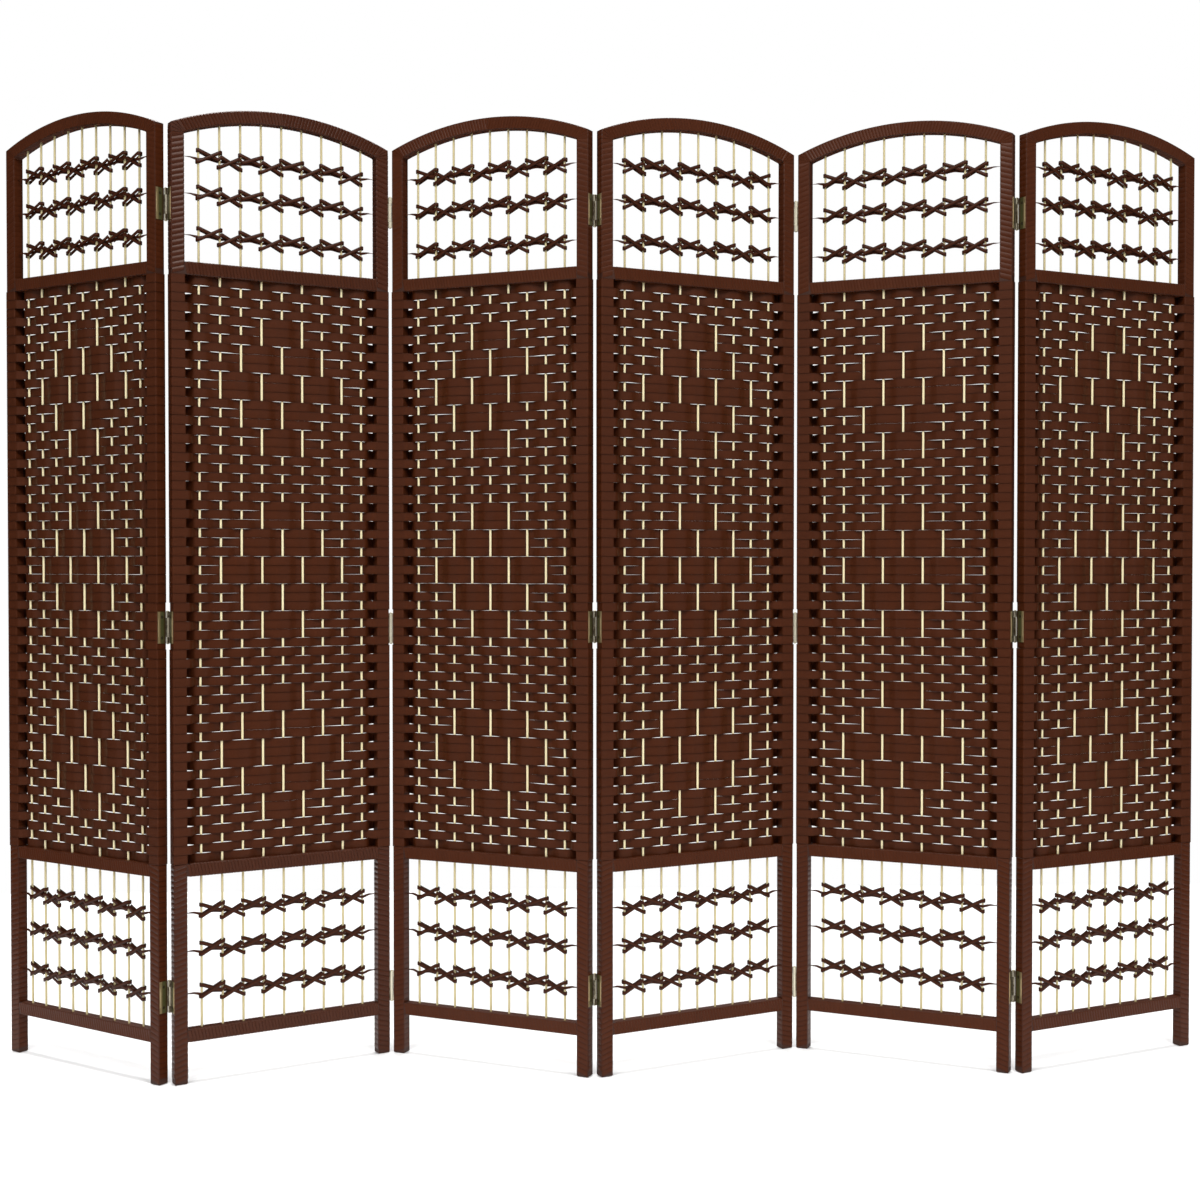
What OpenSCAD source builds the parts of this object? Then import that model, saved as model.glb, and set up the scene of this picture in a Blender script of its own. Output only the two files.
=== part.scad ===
// Folding room divider of six arched panels, hinged in a zigzag that stands by itself.
// Each panel is a wooden frame with nine upright rods. A flat strip is woven through the rods
// in a basket ground with three stepped diamonds, and laced rows cross the open windows.
//
// Panel frame: X runs along the width from the left end, Y from the front face to the back,
// Z upward from the floor. Hinge frame: X runs out from the end face, Y inward from the face
// that closes, Z upward from the middle of the hinge.

/* [Panel] */
// Width of one panel over its posts
panel_w = 400; // [360:1:460]
// Height of the top of the arch above the floor
arch_top = 1700; // [1600:1:1850]
// Rise of the arch from the shoulders to its top
arch_rise = 40; // [25:1:60]
// Depth of the frame from front to back
panel_t = 19; // [18:0.5:26]
// Width of a post seen from the front
post_w = 22; // [20:0.5:28]
// Bevel round the foot of a post
foot_bevel = 1.5; // [1:0.5:6]

/* [Rails] */
// Height of a straight rail
rail_h = 21.5; // [18:0.5:30]
// Depth of the arched rail measured along its radius
arch_h = 21.5; // [18:0.5:30]
// Underside of the bottom rail above the floor
bottom_rail_z = 72.5; // [50:0.5:95]
// Underside of the lower rail above the floor
lower_rail_z = 361; // [330:1:400]
// Distance from the top of the arch down to the underside of the upper rail
upper_rail_drop = 298; // [270:1:330]
// Length of a tenon
tenon_l = 10; // [6:0.5:14]
// Thickness of a tenon from front to back
tenon_t = 8; // [5:0.5:10]
// Height of a tenon
tenon_h = 10; // [6:0.5:11]
// Room around a tenon in its mortise
joint_gap = 0.15; // [0.1:0.05:0.3]

/* [Rods] */
// Number of upright rods in a panel
rod_count = 9; // [7:2:9]
// Diameter of a rod
rod_d = 4; // [3:0.1:5]
// Distance between the axes of two rods
rod_pitch = 37.5; // [36:0.1:39]
// Depth of the blind holes that hold the ends of a rod
rod_seat = 12; // [8:0.5:15]
// Room around a rod in its holes
rod_gap = 0.15; // [0.1:0.05:0.3]

/* [Weave] */
// Number of woven rows between the lower and the upper rail
weave_rows = 63; // [63:1:66]
// Thickness of a woven strip
strip_t = 1.1; // [0.8:0.1:1.3]
// Room between a strip and the post that it wraps
wrap_gap = 0.15; // [0.1:0.05:0.3]
// Room between a strip and a rod that it passes
rod_air = 0.5; // [0.45:0.05:0.8]
// Room between one row and the next
row_gap = 0.3; // [0.2:0.05:0.5]
// Number of stepped diamonds, one above another
diamond_count = 3; // [1:1:3]
// Plain rows above the first diamond
diamond_first = 4; // [3:1:5]
// Rows from the start of one diamond to the start of the next
diamond_every = 20; // [18:1:20]
// Rows in one step of a diamond
diamond_step = 3; // [3:1:3]
// Row in which the strip misses a rod, counted from 0 at the top
slip_row = 14; // [0:1:62]

/* [Lacing] */
// Width of the flat cord that runs in and out of the rods
cord_h = 6; // [4:0.5:8]
// Thickness of the flat cord
cord_t = 0.6; // [0.4:0.1:0.6]
// Room between the flat cord and a rod
cord_air = 0.3; // [0.25:0.05:0.35]
// Width of a band that loops round two rods
band_w = 5.5; // [4:0.5:6]
// Thickness of a band
band_t = 0.9; // [0.6:0.1:1]
// Room between one layer of the lacing and the next
band_gap = 0.2; // [0.15:0.05:0.3]
// Height of a band's ends above or below the row
band_reach = 12.6; // [10:0.1:13]
// Height of the outer end of the short band beside a post
short_reach = 7; // [6:0.1:8]

/* [Hinges] */
// Height of a hinge
hinge_h = 55; // [45:1:60]
// Thickness of a hinge leaf
leaf_t = 1.2; // [0.8:0.1:1.2]
// Width of a hinge leaf
leaf_w = 17.5; // [15:0.5:17.5]
// Distance of a leaf's near edge from the face that closes
leaf_inset = 0.3; // [0.3:0.1:0.5]
// Diameter of a hinge knuckle
knuckle_d = 5.4; // [4.4:0.1:5.4]
// Share of the hinge height that the long middle knuckle takes
knuckle_share = 0.6; // [0.4:0.05:0.7]
// Gap between two knuckles along the pin
knuckle_gap = 0.3; // [0.2:0.05:0.5]
// Diameter of a hinge pin
pin_d = 2.6; // [2:0.1:3]
// Room between the pin and its bore
pin_gap = 0.05; // [0.05:0.01:0.1]
// Height of the head at each end of the pin
pin_head_h = 1.6; // [1:0.1:2]
// Distance of the pin axis out from the end face of a post
pin_out = 3.2; // [3.2:0.1:4]
// Distance of the pin axis beyond the face that closes
pin_off = 1.9; // [1.9:0.1:2.4]
// Radius of a screw head
screw_head_r = 2.8; // [2.4:0.1:3.2]
// Radius of a screw shank
screw_r = 1.5; // [1.2:0.1:1.8]
// Length of a screw
screw_l = 14; // [10:1:18]
// Distance of a screw from the middle of the hinge
screw_reach = 18; // [14:0.5:19]
// Room around a screw in the leaf
screw_gap = 0.1; // [0.05:0.05:0.2]
// Room around a screw in the post
screw_bite = 0.05; // [0.03:0.01:0.1]
// Middle of the lowest hinge of a fold that stands forward
near_low_z = 152; // [130:1:170]
// Middle of the middle hinge of a fold that stands forward
near_mid_z = 793; // [700:1:900]
// Distance from the top of the arch down to the highest hinge of a fold that stands forward
near_top_drop = 178; // [150:1:210]
// Middle of the lowest hinge of a fold that stands back
far_low_z = 124; // [115:1:150]
// Middle of the middle hinge of a fold that stands back
far_mid_z = 785; // [700:1:900]
// Distance from the top of the arch down to the highest hinge of a fold that stands back
far_top_drop = 153; // [130:1:180]

/* [Fold pose] */
// Lean of the first panel from the line of the screen
lean_1 = 35.9; // [5:0.1:60]
// Lean of the second panel
lean_2 = 29.3; // [5:0.1:60]
// Lean of the third panel
lean_3 = 26.8; // [5:0.1:60]
// Lean of the fourth panel
lean_4 = 26.2; // [5:0.1:60]
// Lean of the fifth panel
lean_5 = 27.6; // [5:0.1:60]
// Lean of the sixth panel
lean_6 = 25.3; // [5:0.1:60]

/* [Hidden] */
panel_count = 6;
lean = [lean_1, lean_2, lean_3, lean_4, lean_5, lean_6];
bit = 0.01;
round_fn = 48;
arch_fn = 360;

// Arch: radius and centre height of its outer curve
arch_r = ((panel_w / 2) ^ 2 + arch_rise ^ 2) / (2 * arch_rise);
arch_z = arch_top - arch_r;
function arch_outer(u) = arch_z + sqrt(arch_r ^ 2 - (u - panel_w / 2) ^ 2);
function arch_inner(u) = arch_z + sqrt((arch_r - arch_h) ^ 2 - (u - panel_w / 2) ^ 2);

// Windows and woven zone
upper_rail_z = arch_top - upper_rail_drop;
window_low = [bottom_rail_z + rail_h, lower_rail_z];
window_high = [upper_rail_z + rail_h, arch_top - arch_h];
weave_low = lower_rail_z + rail_h;
weave_top = upper_rail_z;
row_pitch = (weave_top - weave_low) / weave_rows;
mid_t = panel_t / 2;
wrap_out = wrap_gap + strip_t;

// Rods, numbered from 1 at the left
rod_mid = (rod_count + 1) / 2;
function rod_u(c) = panel_w / 2 + (c - rod_mid) * rod_pitch;

// Shares of a window's height at which its laced rows lie
lacing_low_shares = [0.228, 0.505, 0.755];
lacing_high_shares = [0.188, 0.469, 0.716];
function lacing_heights() = concat(
    [for (s = lacing_low_shares) window_low[0] + s * (window_low[1] - window_low[0])],
    [for (s = lacing_high_shares) window_high[0] + s * (window_high[1] - window_high[0])]);

// Folds: fold j joins panels j and j + 1, and the odd folds stand forward and close at the back
function is_near(j) = j % 2 == 1;
function hinge_heights(j) = is_near(j)
    ? [near_low_z, near_mid_z, arch_top - near_top_drop]
    : [far_low_z, far_mid_z, arch_top - far_top_drop];
function panel_angle(i) = (i % 2 == 1 ? -1 : 1) * lean[i - 1];
function along(i) = [cos(panel_angle(i)), sin(panel_angle(i))];
function inward(i) = [-sin(panel_angle(i)), cos(panel_angle(i))];
function pin_y(j) = is_near(j) ? panel_t + pin_off : -pin_off;
function panel_point(i, p) = panel_origin(i) + p.x * along(i) + p.y * inward(i);
function pin_place(j) = panel_point(j, [panel_w + pin_out, pin_y(j)]);
function panel_origin(i) = i == 1
    ? [0, 0]
    : pin_place(i - 1) + pin_out * along(i) - pin_y(i - 1) * inward(i);

// The screen is centred on the middle of its outline on the floor
outline = [for (i = [1 : panel_count], x = [-wrap_out, panel_w + wrap_out],
    y = [-wrap_out, panel_t + wrap_out]) panel_point(i, [x, y])];
outline_x = [for (p = outline) p.x];
outline_y = [for (p = outline) p.y];
centre = [(min(outline_x) + max(outline_x)) / 2, (min(outline_y) + max(outline_y)) / 2];

// Weave rule: half width in rods of each step of a diamond
diamond_reach = [1, 2, 3, 2, 1];
diamond_rows = diamond_step * len(diamond_reach);
function diamond_row(r) = min([for (d = [0 : diamond_count - 1])
    let (q = r - diamond_first - d * diamond_every) q >= 0 && q < diamond_rows ? q : weave_rows]);
function reach_of(r) = diamond_row(r) < diamond_rows
    ? diamond_reach[floor(diamond_row(r) / diamond_step)]
    : -1;
// Panels that were woven and laced the other way round
turned = [false, false, false, true, false, true];
// Rod that the strip misses in the slip row of a panel
function slip_rod(i) = rod_mid + (turned[i - 1] ? -2 : 2);
// True where the rod c shows in row r of panel i, so the strip passes behind it
function rod_shows(i, r, c) = r == slip_row && c == slip_rod(i)
    ? false
    : abs(c - rod_mid) <= reach_of(r)
        ? (c - rod_mid + reach_of(r)) % 2 == 0
        : (r + c) % 2 == 0;
function row_base(r) = weave_top - (r + 1) * row_pitch;
// True where the ends of row r lie in the recess behind a middle hinge at height z
hinge_reach = hinge_h / 2 + pin_gap + pin_head_h + row_gap;
function row_under(r, z) = row_base(r) < z + hinge_reach && row_base(r) + row_pitch > z - hinge_reach;
function recess_rows(j) = [for (r = [0 : weave_rows - 1]) if (row_under(r, hinge_heights(j)[1])) r];
function recess_z(j) = row_base(max(recess_rows(j)));
function recess_top(j) = row_base(min(recess_rows(j))) + row_pitch;

// Ribbon of thickness t along a path of points, with mitred corners
function unit(v) = v / norm(v);
function left_of(v) = [-v.y, v.x];
function mitre(path, k) =
    let (a = k > 0 ? left_of(unit(path[k] - path[k - 1])) : left_of(unit(path[1] - path[0])),
        b = k < len(path) - 1 ? left_of(unit(path[k + 1] - path[k])) : a)
    (a + b) / (1 + a * b);
function ribbon(path, t) = concat(
    [for (k = [0 : len(path) - 1]) path[k] + mitre(path, k) * t / 2],
    [for (k = [len(path) - 1 : -1 : 0]) path[k] - mitre(path, k) * t / 2]);

// Path of a row from the turns on the left post, past each rod, to the turns on the right post
rod_side = rod_d / 2 + rod_air + strip_t / 2;
turn_mid = wrap_gap + strip_t / 2;
function row_path(i, r) = let (y = r % 2 == 0 ? panel_t + turn_mid : -turn_mid) concat(
    [[post_w + turn_mid, y]],
    [for (c = [1 : rod_count]) [rod_u(c), mid_t + (rod_shows(i, r, c) ? 1 : -1) * rod_side]],
    [[panel_w - post_w - turn_mid, y]]);

// Lacing: path of the flat cord, and inner half depths of the falling and of the rising bands
cord_side = rod_d / 2 + cord_air + cord_t / 2;
falling_r = cord_side + cord_t / 2 + band_gap;
rising_r = falling_r + band_t + band_gap;
cord_end = post_w + wrap_gap;
function cord_path() = concat(
    [[cord_end, mid_t], [rod_u(1) - 2 * cord_h, mid_t]],
    [for (c = [1 : rod_count]) [rod_u(c), mid_t + (c % 2 == 1 ? -1 : 1) * cord_side]],
    [[rod_u(rod_count) + 2 * cord_h, mid_t], [panel_w - cord_end, mid_t]]);

frame_colour = [0.29, 0.17, 0.13];
strip_colour = [0.31, 0.19, 0.15];
rod_colour = [0.9, 0.83, 0.62];
brass_colour = [0.55, 0.48, 0.28];

function names(base, n) = [for (i = [1 : n]) str(base, "_", i)];

// Places its children in the frame of panel i
module in_panel(i) {
    translate(concat(panel_origin(i) - centre, [0]))
        rotate(panel_angle(i))
            children();
}

// Places its children in the hinge frame at one end of a panel, at height z
module at_end(right, near, z) {
    translate([right ? panel_w : 0, near ? panel_t : 0, z])
        flip(!right, near)
            children();
}

module flip(flip_x, flip_y) {
    if (flip_x && flip_y)
        rotate(180)
            children();
    else if (flip_x)
        mirror([1, 0, 0])
            children();
    else if (flip_y)
        mirror([0, 1, 0])
            children();
    else
        children();
}

// Extrudes an outline that is drawn in X and Z through a depth of d from y
module through(y, d) {
    translate([0, y + d, 0])
        rotate([90, 0, 0])
            linear_extrude(d)
                children();
}

// Disc of the arch with radius r, reaching past the frame by m at the front and the back
module arch_disc(r, m) {
    translate([panel_w / 2, -m, arch_z])
        rotate([-90, 0, 0])
            cylinder(r = r, h = panel_t + 2 * m, $fn = arch_fn);
}

module tenon(x, z, gap) {
    translate([x - tenon_l - gap, mid_t - tenon_t / 2 - gap, z - tenon_h / 2 - gap])
        cube([tenon_l + gap, tenon_t + 2 * gap, tenon_h + 2 * gap]);
}

function arch_tenon_z() = (arch_inner(post_w) + arch_outer(post_w - tenon_l)) / 2
    - (arch_outer(post_w) - arch_outer(post_w - tenon_l)) / 2;
function tenon_heights() = [bottom_rail_z + rail_h / 2, lower_rail_z + rail_h / 2,
    upper_rail_z + rail_h / 2, arch_tenon_z()];

// Post at the left end of panel i, cut on the curve of the arch and bevelled at the foot
module post(fold, near) {
    difference() {
        intersection() {
            through(0, panel_t)
                polygon([[foot_bevel, 0], [post_w - foot_bevel, 0], [post_w, foot_bevel],
                    [post_w, arch_top], [0, arch_top], [0, foot_bevel]]);
            rotate([90, 0, 90])
                linear_extrude(post_w)
                    polygon([[foot_bevel, 0], [panel_t - foot_bevel, 0], [panel_t, foot_bevel],
                        [panel_t, arch_top], [0, arch_top], [0, foot_bevel]]);
        }
        difference() {
            translate([-1, -1, arch_z])
                cube([post_w + 2, panel_t + 2, arch_r + 1]);
            arch_disc(arch_r, 2);
        }
        for (z = tenon_heights())
            tenon(post_w, z, joint_gap);
        if (fold > 0) {
            translate([-1, -1, recess_z(fold)])
                cube([1 + strip_t + 2 * wrap_gap, panel_t + 2, recess_top(fold) - recess_z(fold)]);
            for (z = hinge_heights(fold), s = [-1, 1])
                translate([0, near ? panel_t : 0, z + s * screw_reach])
                    flip(true, near)
                        translate([0, leaf_inset + leaf_w / 2, 0])
                            rotate([0, -90, 0])
                                cylinder(r = screw_r + screw_bite, h = screw_l - leaf_t, $fn = round_fn);
        }
    }
}

module posts(i) {
    left = i - 1;
    right = i < panel_count ? i : 0;
    color(frame_colour) {
        post(left, is_near(left));
        translate([panel_w, 0, 0])
            mirror([1, 0, 0])
                post(right, is_near(right));
    }
}

module arch_rail() {
    inner_l = panel_w - 2 * post_w;
    color(frame_colour)
        difference() {
            union() {
                difference() {
                    intersection() {
                        translate([post_w, 0, arch_z])
                            cube([inner_l, panel_t, arch_r]);
                        arch_disc(arch_r, bit);
                    }
                    arch_disc(arch_r - arch_h, 1);
                }
                tenon(post_w + bit, arch_tenon_z(), 0);
                translate([panel_w, 0, 0])
                    mirror([1, 0, 0])
                        tenon(post_w + bit, arch_tenon_z(), 0);
            }
            for (c = [1 : rod_count])
                translate([rod_u(c), mid_t, arch_inner(rod_u(c)) - 5])
                    cylinder(d = rod_d + 2 * rod_gap, h = 5 + rod_seat, $fn = round_fn);
        }
}

module straight_rail(z, seat) {
    difference() {
        union() {
            translate([post_w, 0, z])
                cube([panel_w - 2 * post_w, panel_t, rail_h]);
            tenon(post_w + bit, z + rail_h / 2, 0);
            translate([panel_w, 0, 0])
                mirror([1, 0, 0])
                    tenon(post_w + bit, z + rail_h / 2, 0);
        }
        for (c = [1 : rod_count])
            translate([rod_u(c), mid_t, z + rail_h - seat])
                cylinder(d = rod_d + 2 * rod_gap, h = seat + 1, $fn = round_fn);
    }
}

module cross_rails() {
    color(frame_colour) {
        straight_rail(bottom_rail_z, rod_seat);
        straight_rail(lower_rail_z, rail_h + 1);
        straight_rail(upper_rail_z, rail_h + 1);
    }
}

module rods() {
    foot = bottom_rail_z + rail_h - rod_seat + joint_gap;
    color(rod_colour)
        for (c = [1 : rod_count])
            translate([rod_u(c), mid_t, foot])
                cylinder(d = rod_d, h = arch_inner(rod_u(c)) + rod_seat - joint_gap - foot, $fn = round_fn);
}

// Block round a post that stands out from it by m, between the heights a and b
module round_post(m, a, b) {
    translate([-m, -m, a])
        cube([post_w + 2 * m, panel_t + 2 * m, b - a]);
}

// Turns of the strip round the left post, drawn into the recess behind the middle hinge
module turns(fold, near) {
    low = weave_low + row_gap / 2;
    top = weave_top - row_gap / 2;
    difference() {
        round_post(wrap_out, low, top);
        if (fold > 0) {
            difference() {
                round_post(wrap_gap, low - 1, top + 1);
                translate([-1, -1, recess_z(fold) + wrap_gap])
                    cube([1 + wrap_out, panel_t + 2, recess_top(fold) - recess_z(fold) - 2 * wrap_gap]);
            }
            translate([-2, -3, recess_z(fold)])
                cube([2 + wrap_gap, panel_t + 6, recess_top(fold) - recess_z(fold)]);
            for (s = [-1, 1])
                translate([2 * wrap_out, near ? panel_t : 0, hinge_heights(fold)[1] + s * screw_reach])
                    flip(true, near)
                        translate([0, leaf_inset + leaf_w / 2, 0])
                            rotate([0, 90, 0])
                                cylinder(r = screw_r + screw_gap, h = 4 * wrap_out, $fn = round_fn);
        } else
            round_post(wrap_gap, low - 1, top + 1);
    }
}

// The strip goes in and out of the rods row by row, with turns round a post before it comes back
module weave(i) {
    left = i - 1;
    right = i < panel_count ? i : 0;
    color(strip_colour)
        union() {
            for (r = [0 : weave_rows - 1])
                translate([0, 0, row_base(r) + row_gap / 2])
                    linear_extrude(row_pitch - row_gap)
                        polygon(ribbon(row_path(i, r), strip_t));
            turns(left, is_near(left));
            translate([panel_w, 0, 0])
                mirror([1, 0, 0])
                    turns(right, is_near(right));
        }
}

// Bar with round ends about two upright axes at a distance of l
module stadium(l, r, h) {
    for (x = [0, l])
        translate([x, 0, 0])
            cylinder(r = r, h = h, $fn = round_fn);
    translate([0, -r, 0])
        cube([l, 2 * r, h]);
}

// Flat band that loops round rod a at height za and round rod b at height zb
module band(a, b, za, zb, r) {
    run = rod_u(b) - rod_u(a);
    l = norm([run, zb - za]);
    translate([rod_u(a), mid_t, za])
        rotate([0, -atan2(zb - za, run), 0])
            translate([0, 0, -band_w / 2])
                difference() {
                    stadium(l, r + band_t, band_w);
                    translate([0, 0, -1])
                        stadium(l, r, band_w + 2);
                }
}

// Each laced row is a flat cord through the rods, held between bands that fall and bands that rise
module laced_row() {
    translate([0, 0, -cord_h / 2])
        linear_extrude(cord_h)
            polygon(ribbon(cord_path(), cord_t));
    for (c = [1 : 2 : rod_count - 2])
        band(c, c + 2, band_reach, -band_reach, falling_r);
    for (c = [2 : 2 : rod_count - 2])
        band(c, c + 2, -band_reach, band_reach, rising_r);
    band(1, 2, -short_reach, band_reach, rising_r);
    band(rod_count - 1, rod_count, -band_reach, short_reach, rising_r);
}

module lacing(i) {
    color(strip_colour)
        translate([turned[i - 1] ? panel_w : 0, 0, 0])
            flip(turned[i - 1], false)
                for (z = lacing_heights())
                    translate([0, 0, z])
                        laced_row();
}

module knuckle(h) {
    translate([pin_out, -pin_off, 0])
        cylinder(d = knuckle_d, h = h, $fn = round_fn);
    linear_extrude(h)
        polygon([[0, leaf_inset + leaf_t], [leaf_t, leaf_inset + leaf_t], [leaf_t, leaf_inset],
            [pin_out, -pin_off], [pin_out - knuckle_d / 4, -pin_off], [0, leaf_inset]]);
}

// Hinge leaf with the long middle knuckle, or with the two short ones at its ends
module leaf(middle) {
    long_h = hinge_h * knuckle_share;
    short_h = (hinge_h - long_h) / 2 - knuckle_gap;
    difference() {
        union() {
            translate([0, leaf_inset, -hinge_h / 2])
                cube([leaf_t, leaf_w, hinge_h]);
            translate([leaf_t - bit, leaf_inset + leaf_w - 1.1, -long_h / 2])
                cylinder(r = 1, h = long_h, $fn = round_fn);
            if (middle)
                translate([0, 0, -long_h / 2])
                    knuckle(long_h);
            else
                for (z = [-hinge_h / 2, hinge_h / 2 - short_h])
                    translate([0, 0, z])
                        knuckle(short_h);
        }
        translate([pin_out, -pin_off, -hinge_h])
            cylinder(d = pin_d + 2 * pin_gap, h = 2 * hinge_h, $fn = round_fn);
        for (s = [-1, 1])
            translate([leaf_t + bit, leaf_inset + leaf_w / 2, s * screw_reach])
                rotate([0, -90, 0])
                    cylinder(r1 = screw_head_r + screw_gap, r2 = screw_r + screw_gap,
                        h = leaf_t + 2 * bit, $fn = round_fn);
    }
}

module screw() {
    rotate([0, -90, 0])
        rotate_extrude($fn = round_fn)
            polygon([[0, 0], [screw_head_r, 0], [screw_r, leaf_t], [screw_r, screw_l - 3],
                [0.3, screw_l - 0.2], [0, screw_l - 0.2]]);
}

module screws(i) {
    color(brass_colour)
        for (right = [false, true]) {
            j = right ? i : i - 1;
            if (j >= 1 && j < panel_count)
                for (z = hinge_heights(j), s = [-1, 1])
                    at_end(right, is_near(j), z + s * screw_reach)
                        translate([leaf_t, leaf_inset + leaf_w / 2, 0])
                            screw();
        }
}

// The three leaves of fold j on the panel to its left, or on the panel to its right
module leaves(j, on_left) {
    color(brass_colour)
        for (z = hinge_heights(j))
            at_end(on_left, is_near(j), z)
                leaf(on_left);
}

module hinge_pins(j) {
    half = hinge_h / 2 + pin_gap;
    tip = half + pin_head_h;
    rim = half + pin_head_h / 2;
    head_r = knuckle_d / 2 - 0.2;
    color(brass_colour)
        for (z = hinge_heights(j))
            at_end(true, is_near(j), z)
                translate([pin_out, -pin_off, 0])
                    rotate_extrude($fn = round_fn)
                        polygon([[0, -tip], [pin_d / 4, -tip], [head_r, -rim], [head_r, -half],
                            [pin_d / 2, -half], [pin_d / 2, half], [head_r, half], [head_r, rim],
                            [pin_d / 4, tip], [0, tip]]);
}

for (i = [1 : panel_count]) {
    in_panel(i) posts(i);
    in_panel(i) arch_rail();
    in_panel(i) cross_rails();
    in_panel(i) rods();
    in_panel(i) weave(i);
    in_panel(i) lacing(i);
    in_panel(i) screws(i);
}
for (j = [1 : panel_count - 1]) {
    in_panel(j) leaves(j, true);
    in_panel(j + 1) leaves(j, false);
    in_panel(j) hinge_pins(j);
}
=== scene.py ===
"""Visual model of a folding room divider with six arched panels, wound, woven and laced.

Every panel is worked out in its own millimetres: U runs along its width from the left end,
V from the front face to the back, and Z up from the floor. A matrix then stands it in place.
"""

from __future__ import annotations

import logging
import math
import random
from collections.abc import Callable
from dataclasses import dataclass, field
from enum import Enum

import bpy
import numpy as np
from mathutils import Matrix, Vector


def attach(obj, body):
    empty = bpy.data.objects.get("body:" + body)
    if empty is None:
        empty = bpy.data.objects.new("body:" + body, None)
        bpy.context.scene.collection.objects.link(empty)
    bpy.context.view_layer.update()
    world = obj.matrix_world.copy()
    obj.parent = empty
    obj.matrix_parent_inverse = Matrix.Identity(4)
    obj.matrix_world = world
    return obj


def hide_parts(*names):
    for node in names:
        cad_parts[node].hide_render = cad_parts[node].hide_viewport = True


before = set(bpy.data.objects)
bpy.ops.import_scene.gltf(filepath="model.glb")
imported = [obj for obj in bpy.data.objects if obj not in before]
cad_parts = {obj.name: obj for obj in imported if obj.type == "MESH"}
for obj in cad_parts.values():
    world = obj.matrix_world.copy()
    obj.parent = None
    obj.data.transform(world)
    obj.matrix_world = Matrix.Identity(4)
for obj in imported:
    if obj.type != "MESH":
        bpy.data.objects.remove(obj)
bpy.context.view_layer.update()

log = logging.getLogger("room_divider")
MM = 0.001
PANELS = 6

Colour = tuple[float, float, float]
Point = tuple[float, float]


# ---------------------------------------------------------------------------
# Sizes and places
# ---------------------------------------------------------------------------


class Pass(Enum):
    """Side of a rod on which a strip passes."""

    IN_FRONT = -1
    BEHIND = 1


@dataclass(frozen=True)
class PanelSizes:
    """Sizes of one panel frame, in millimetres."""

    width: float = 400.0
    depth: float = 19.0
    post: float = 22.0
    arch_top: float = 1700.0
    arch_rise: float = 40.0
    arch_bar: float = 21.5
    rail: float = 21.5
    bottom_rail: float = 72.5
    lower_rail: float = 361.0
    upper_rail: float = 1402.0
    rods: int = 9
    rod_pitch: float = 37.5

    @property
    def middle(self) -> float:
        """Depth of the rods' axes."""
        return self.depth / 2

    @property
    def woven_low(self) -> float:
        """Lower end of the weave, on top of the lower rail."""
        return self.lower_rail + self.rail

    @property
    def arch_radius(self) -> float:
        """Radius of the outer curve of the arch."""
        return ((self.width / 2) ** 2 + self.arch_rise ** 2) / (2 * self.arch_rise)

    @property
    def arch_centre(self) -> float:
        """Height of the centre of the arch's curves."""
        return self.arch_top - self.arch_radius

    def rod(self, number: int) -> float:
        """Place of a rod along the panel, counted from 1 at the left."""
        return self.width / 2 + (number - (self.rods + 1) / 2) * self.rod_pitch

    def arch_height(self, u: float, drop: float = 0.0) -> float:
        """Height of the arch's curve at u, drop millimetres inside the outer one."""
        radius = self.arch_radius - drop
        return self.arch_centre + math.sqrt(radius ** 2 - (u - self.width / 2) ** 2)

    def arch_angle(self, u: float, z: float) -> float:
        """Angle from the top of the arch at which a point (u, z) is seen from its centre."""
        return math.atan2(u - self.width / 2, z - self.arch_centre)

    def arch_point(self, angle: float, drop: float = 0.0) -> Point:
        """Point (u, z) of the arch's curve at an angle, drop millimetres inside the outer one."""
        radius = self.arch_radius - drop
        return (self.width / 2 + radius * math.sin(angle),
                self.arch_centre + radius * math.cos(angle))

    def mirror(self) -> Matrix:
        """Matrix that swaps the two ends of a panel."""
        flip = Matrix.Scale(-1.0, 4, (1.0, 0.0, 0.0))
        return Matrix.Translation((self.width, 0.0, 0.0)) @ flip


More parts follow.
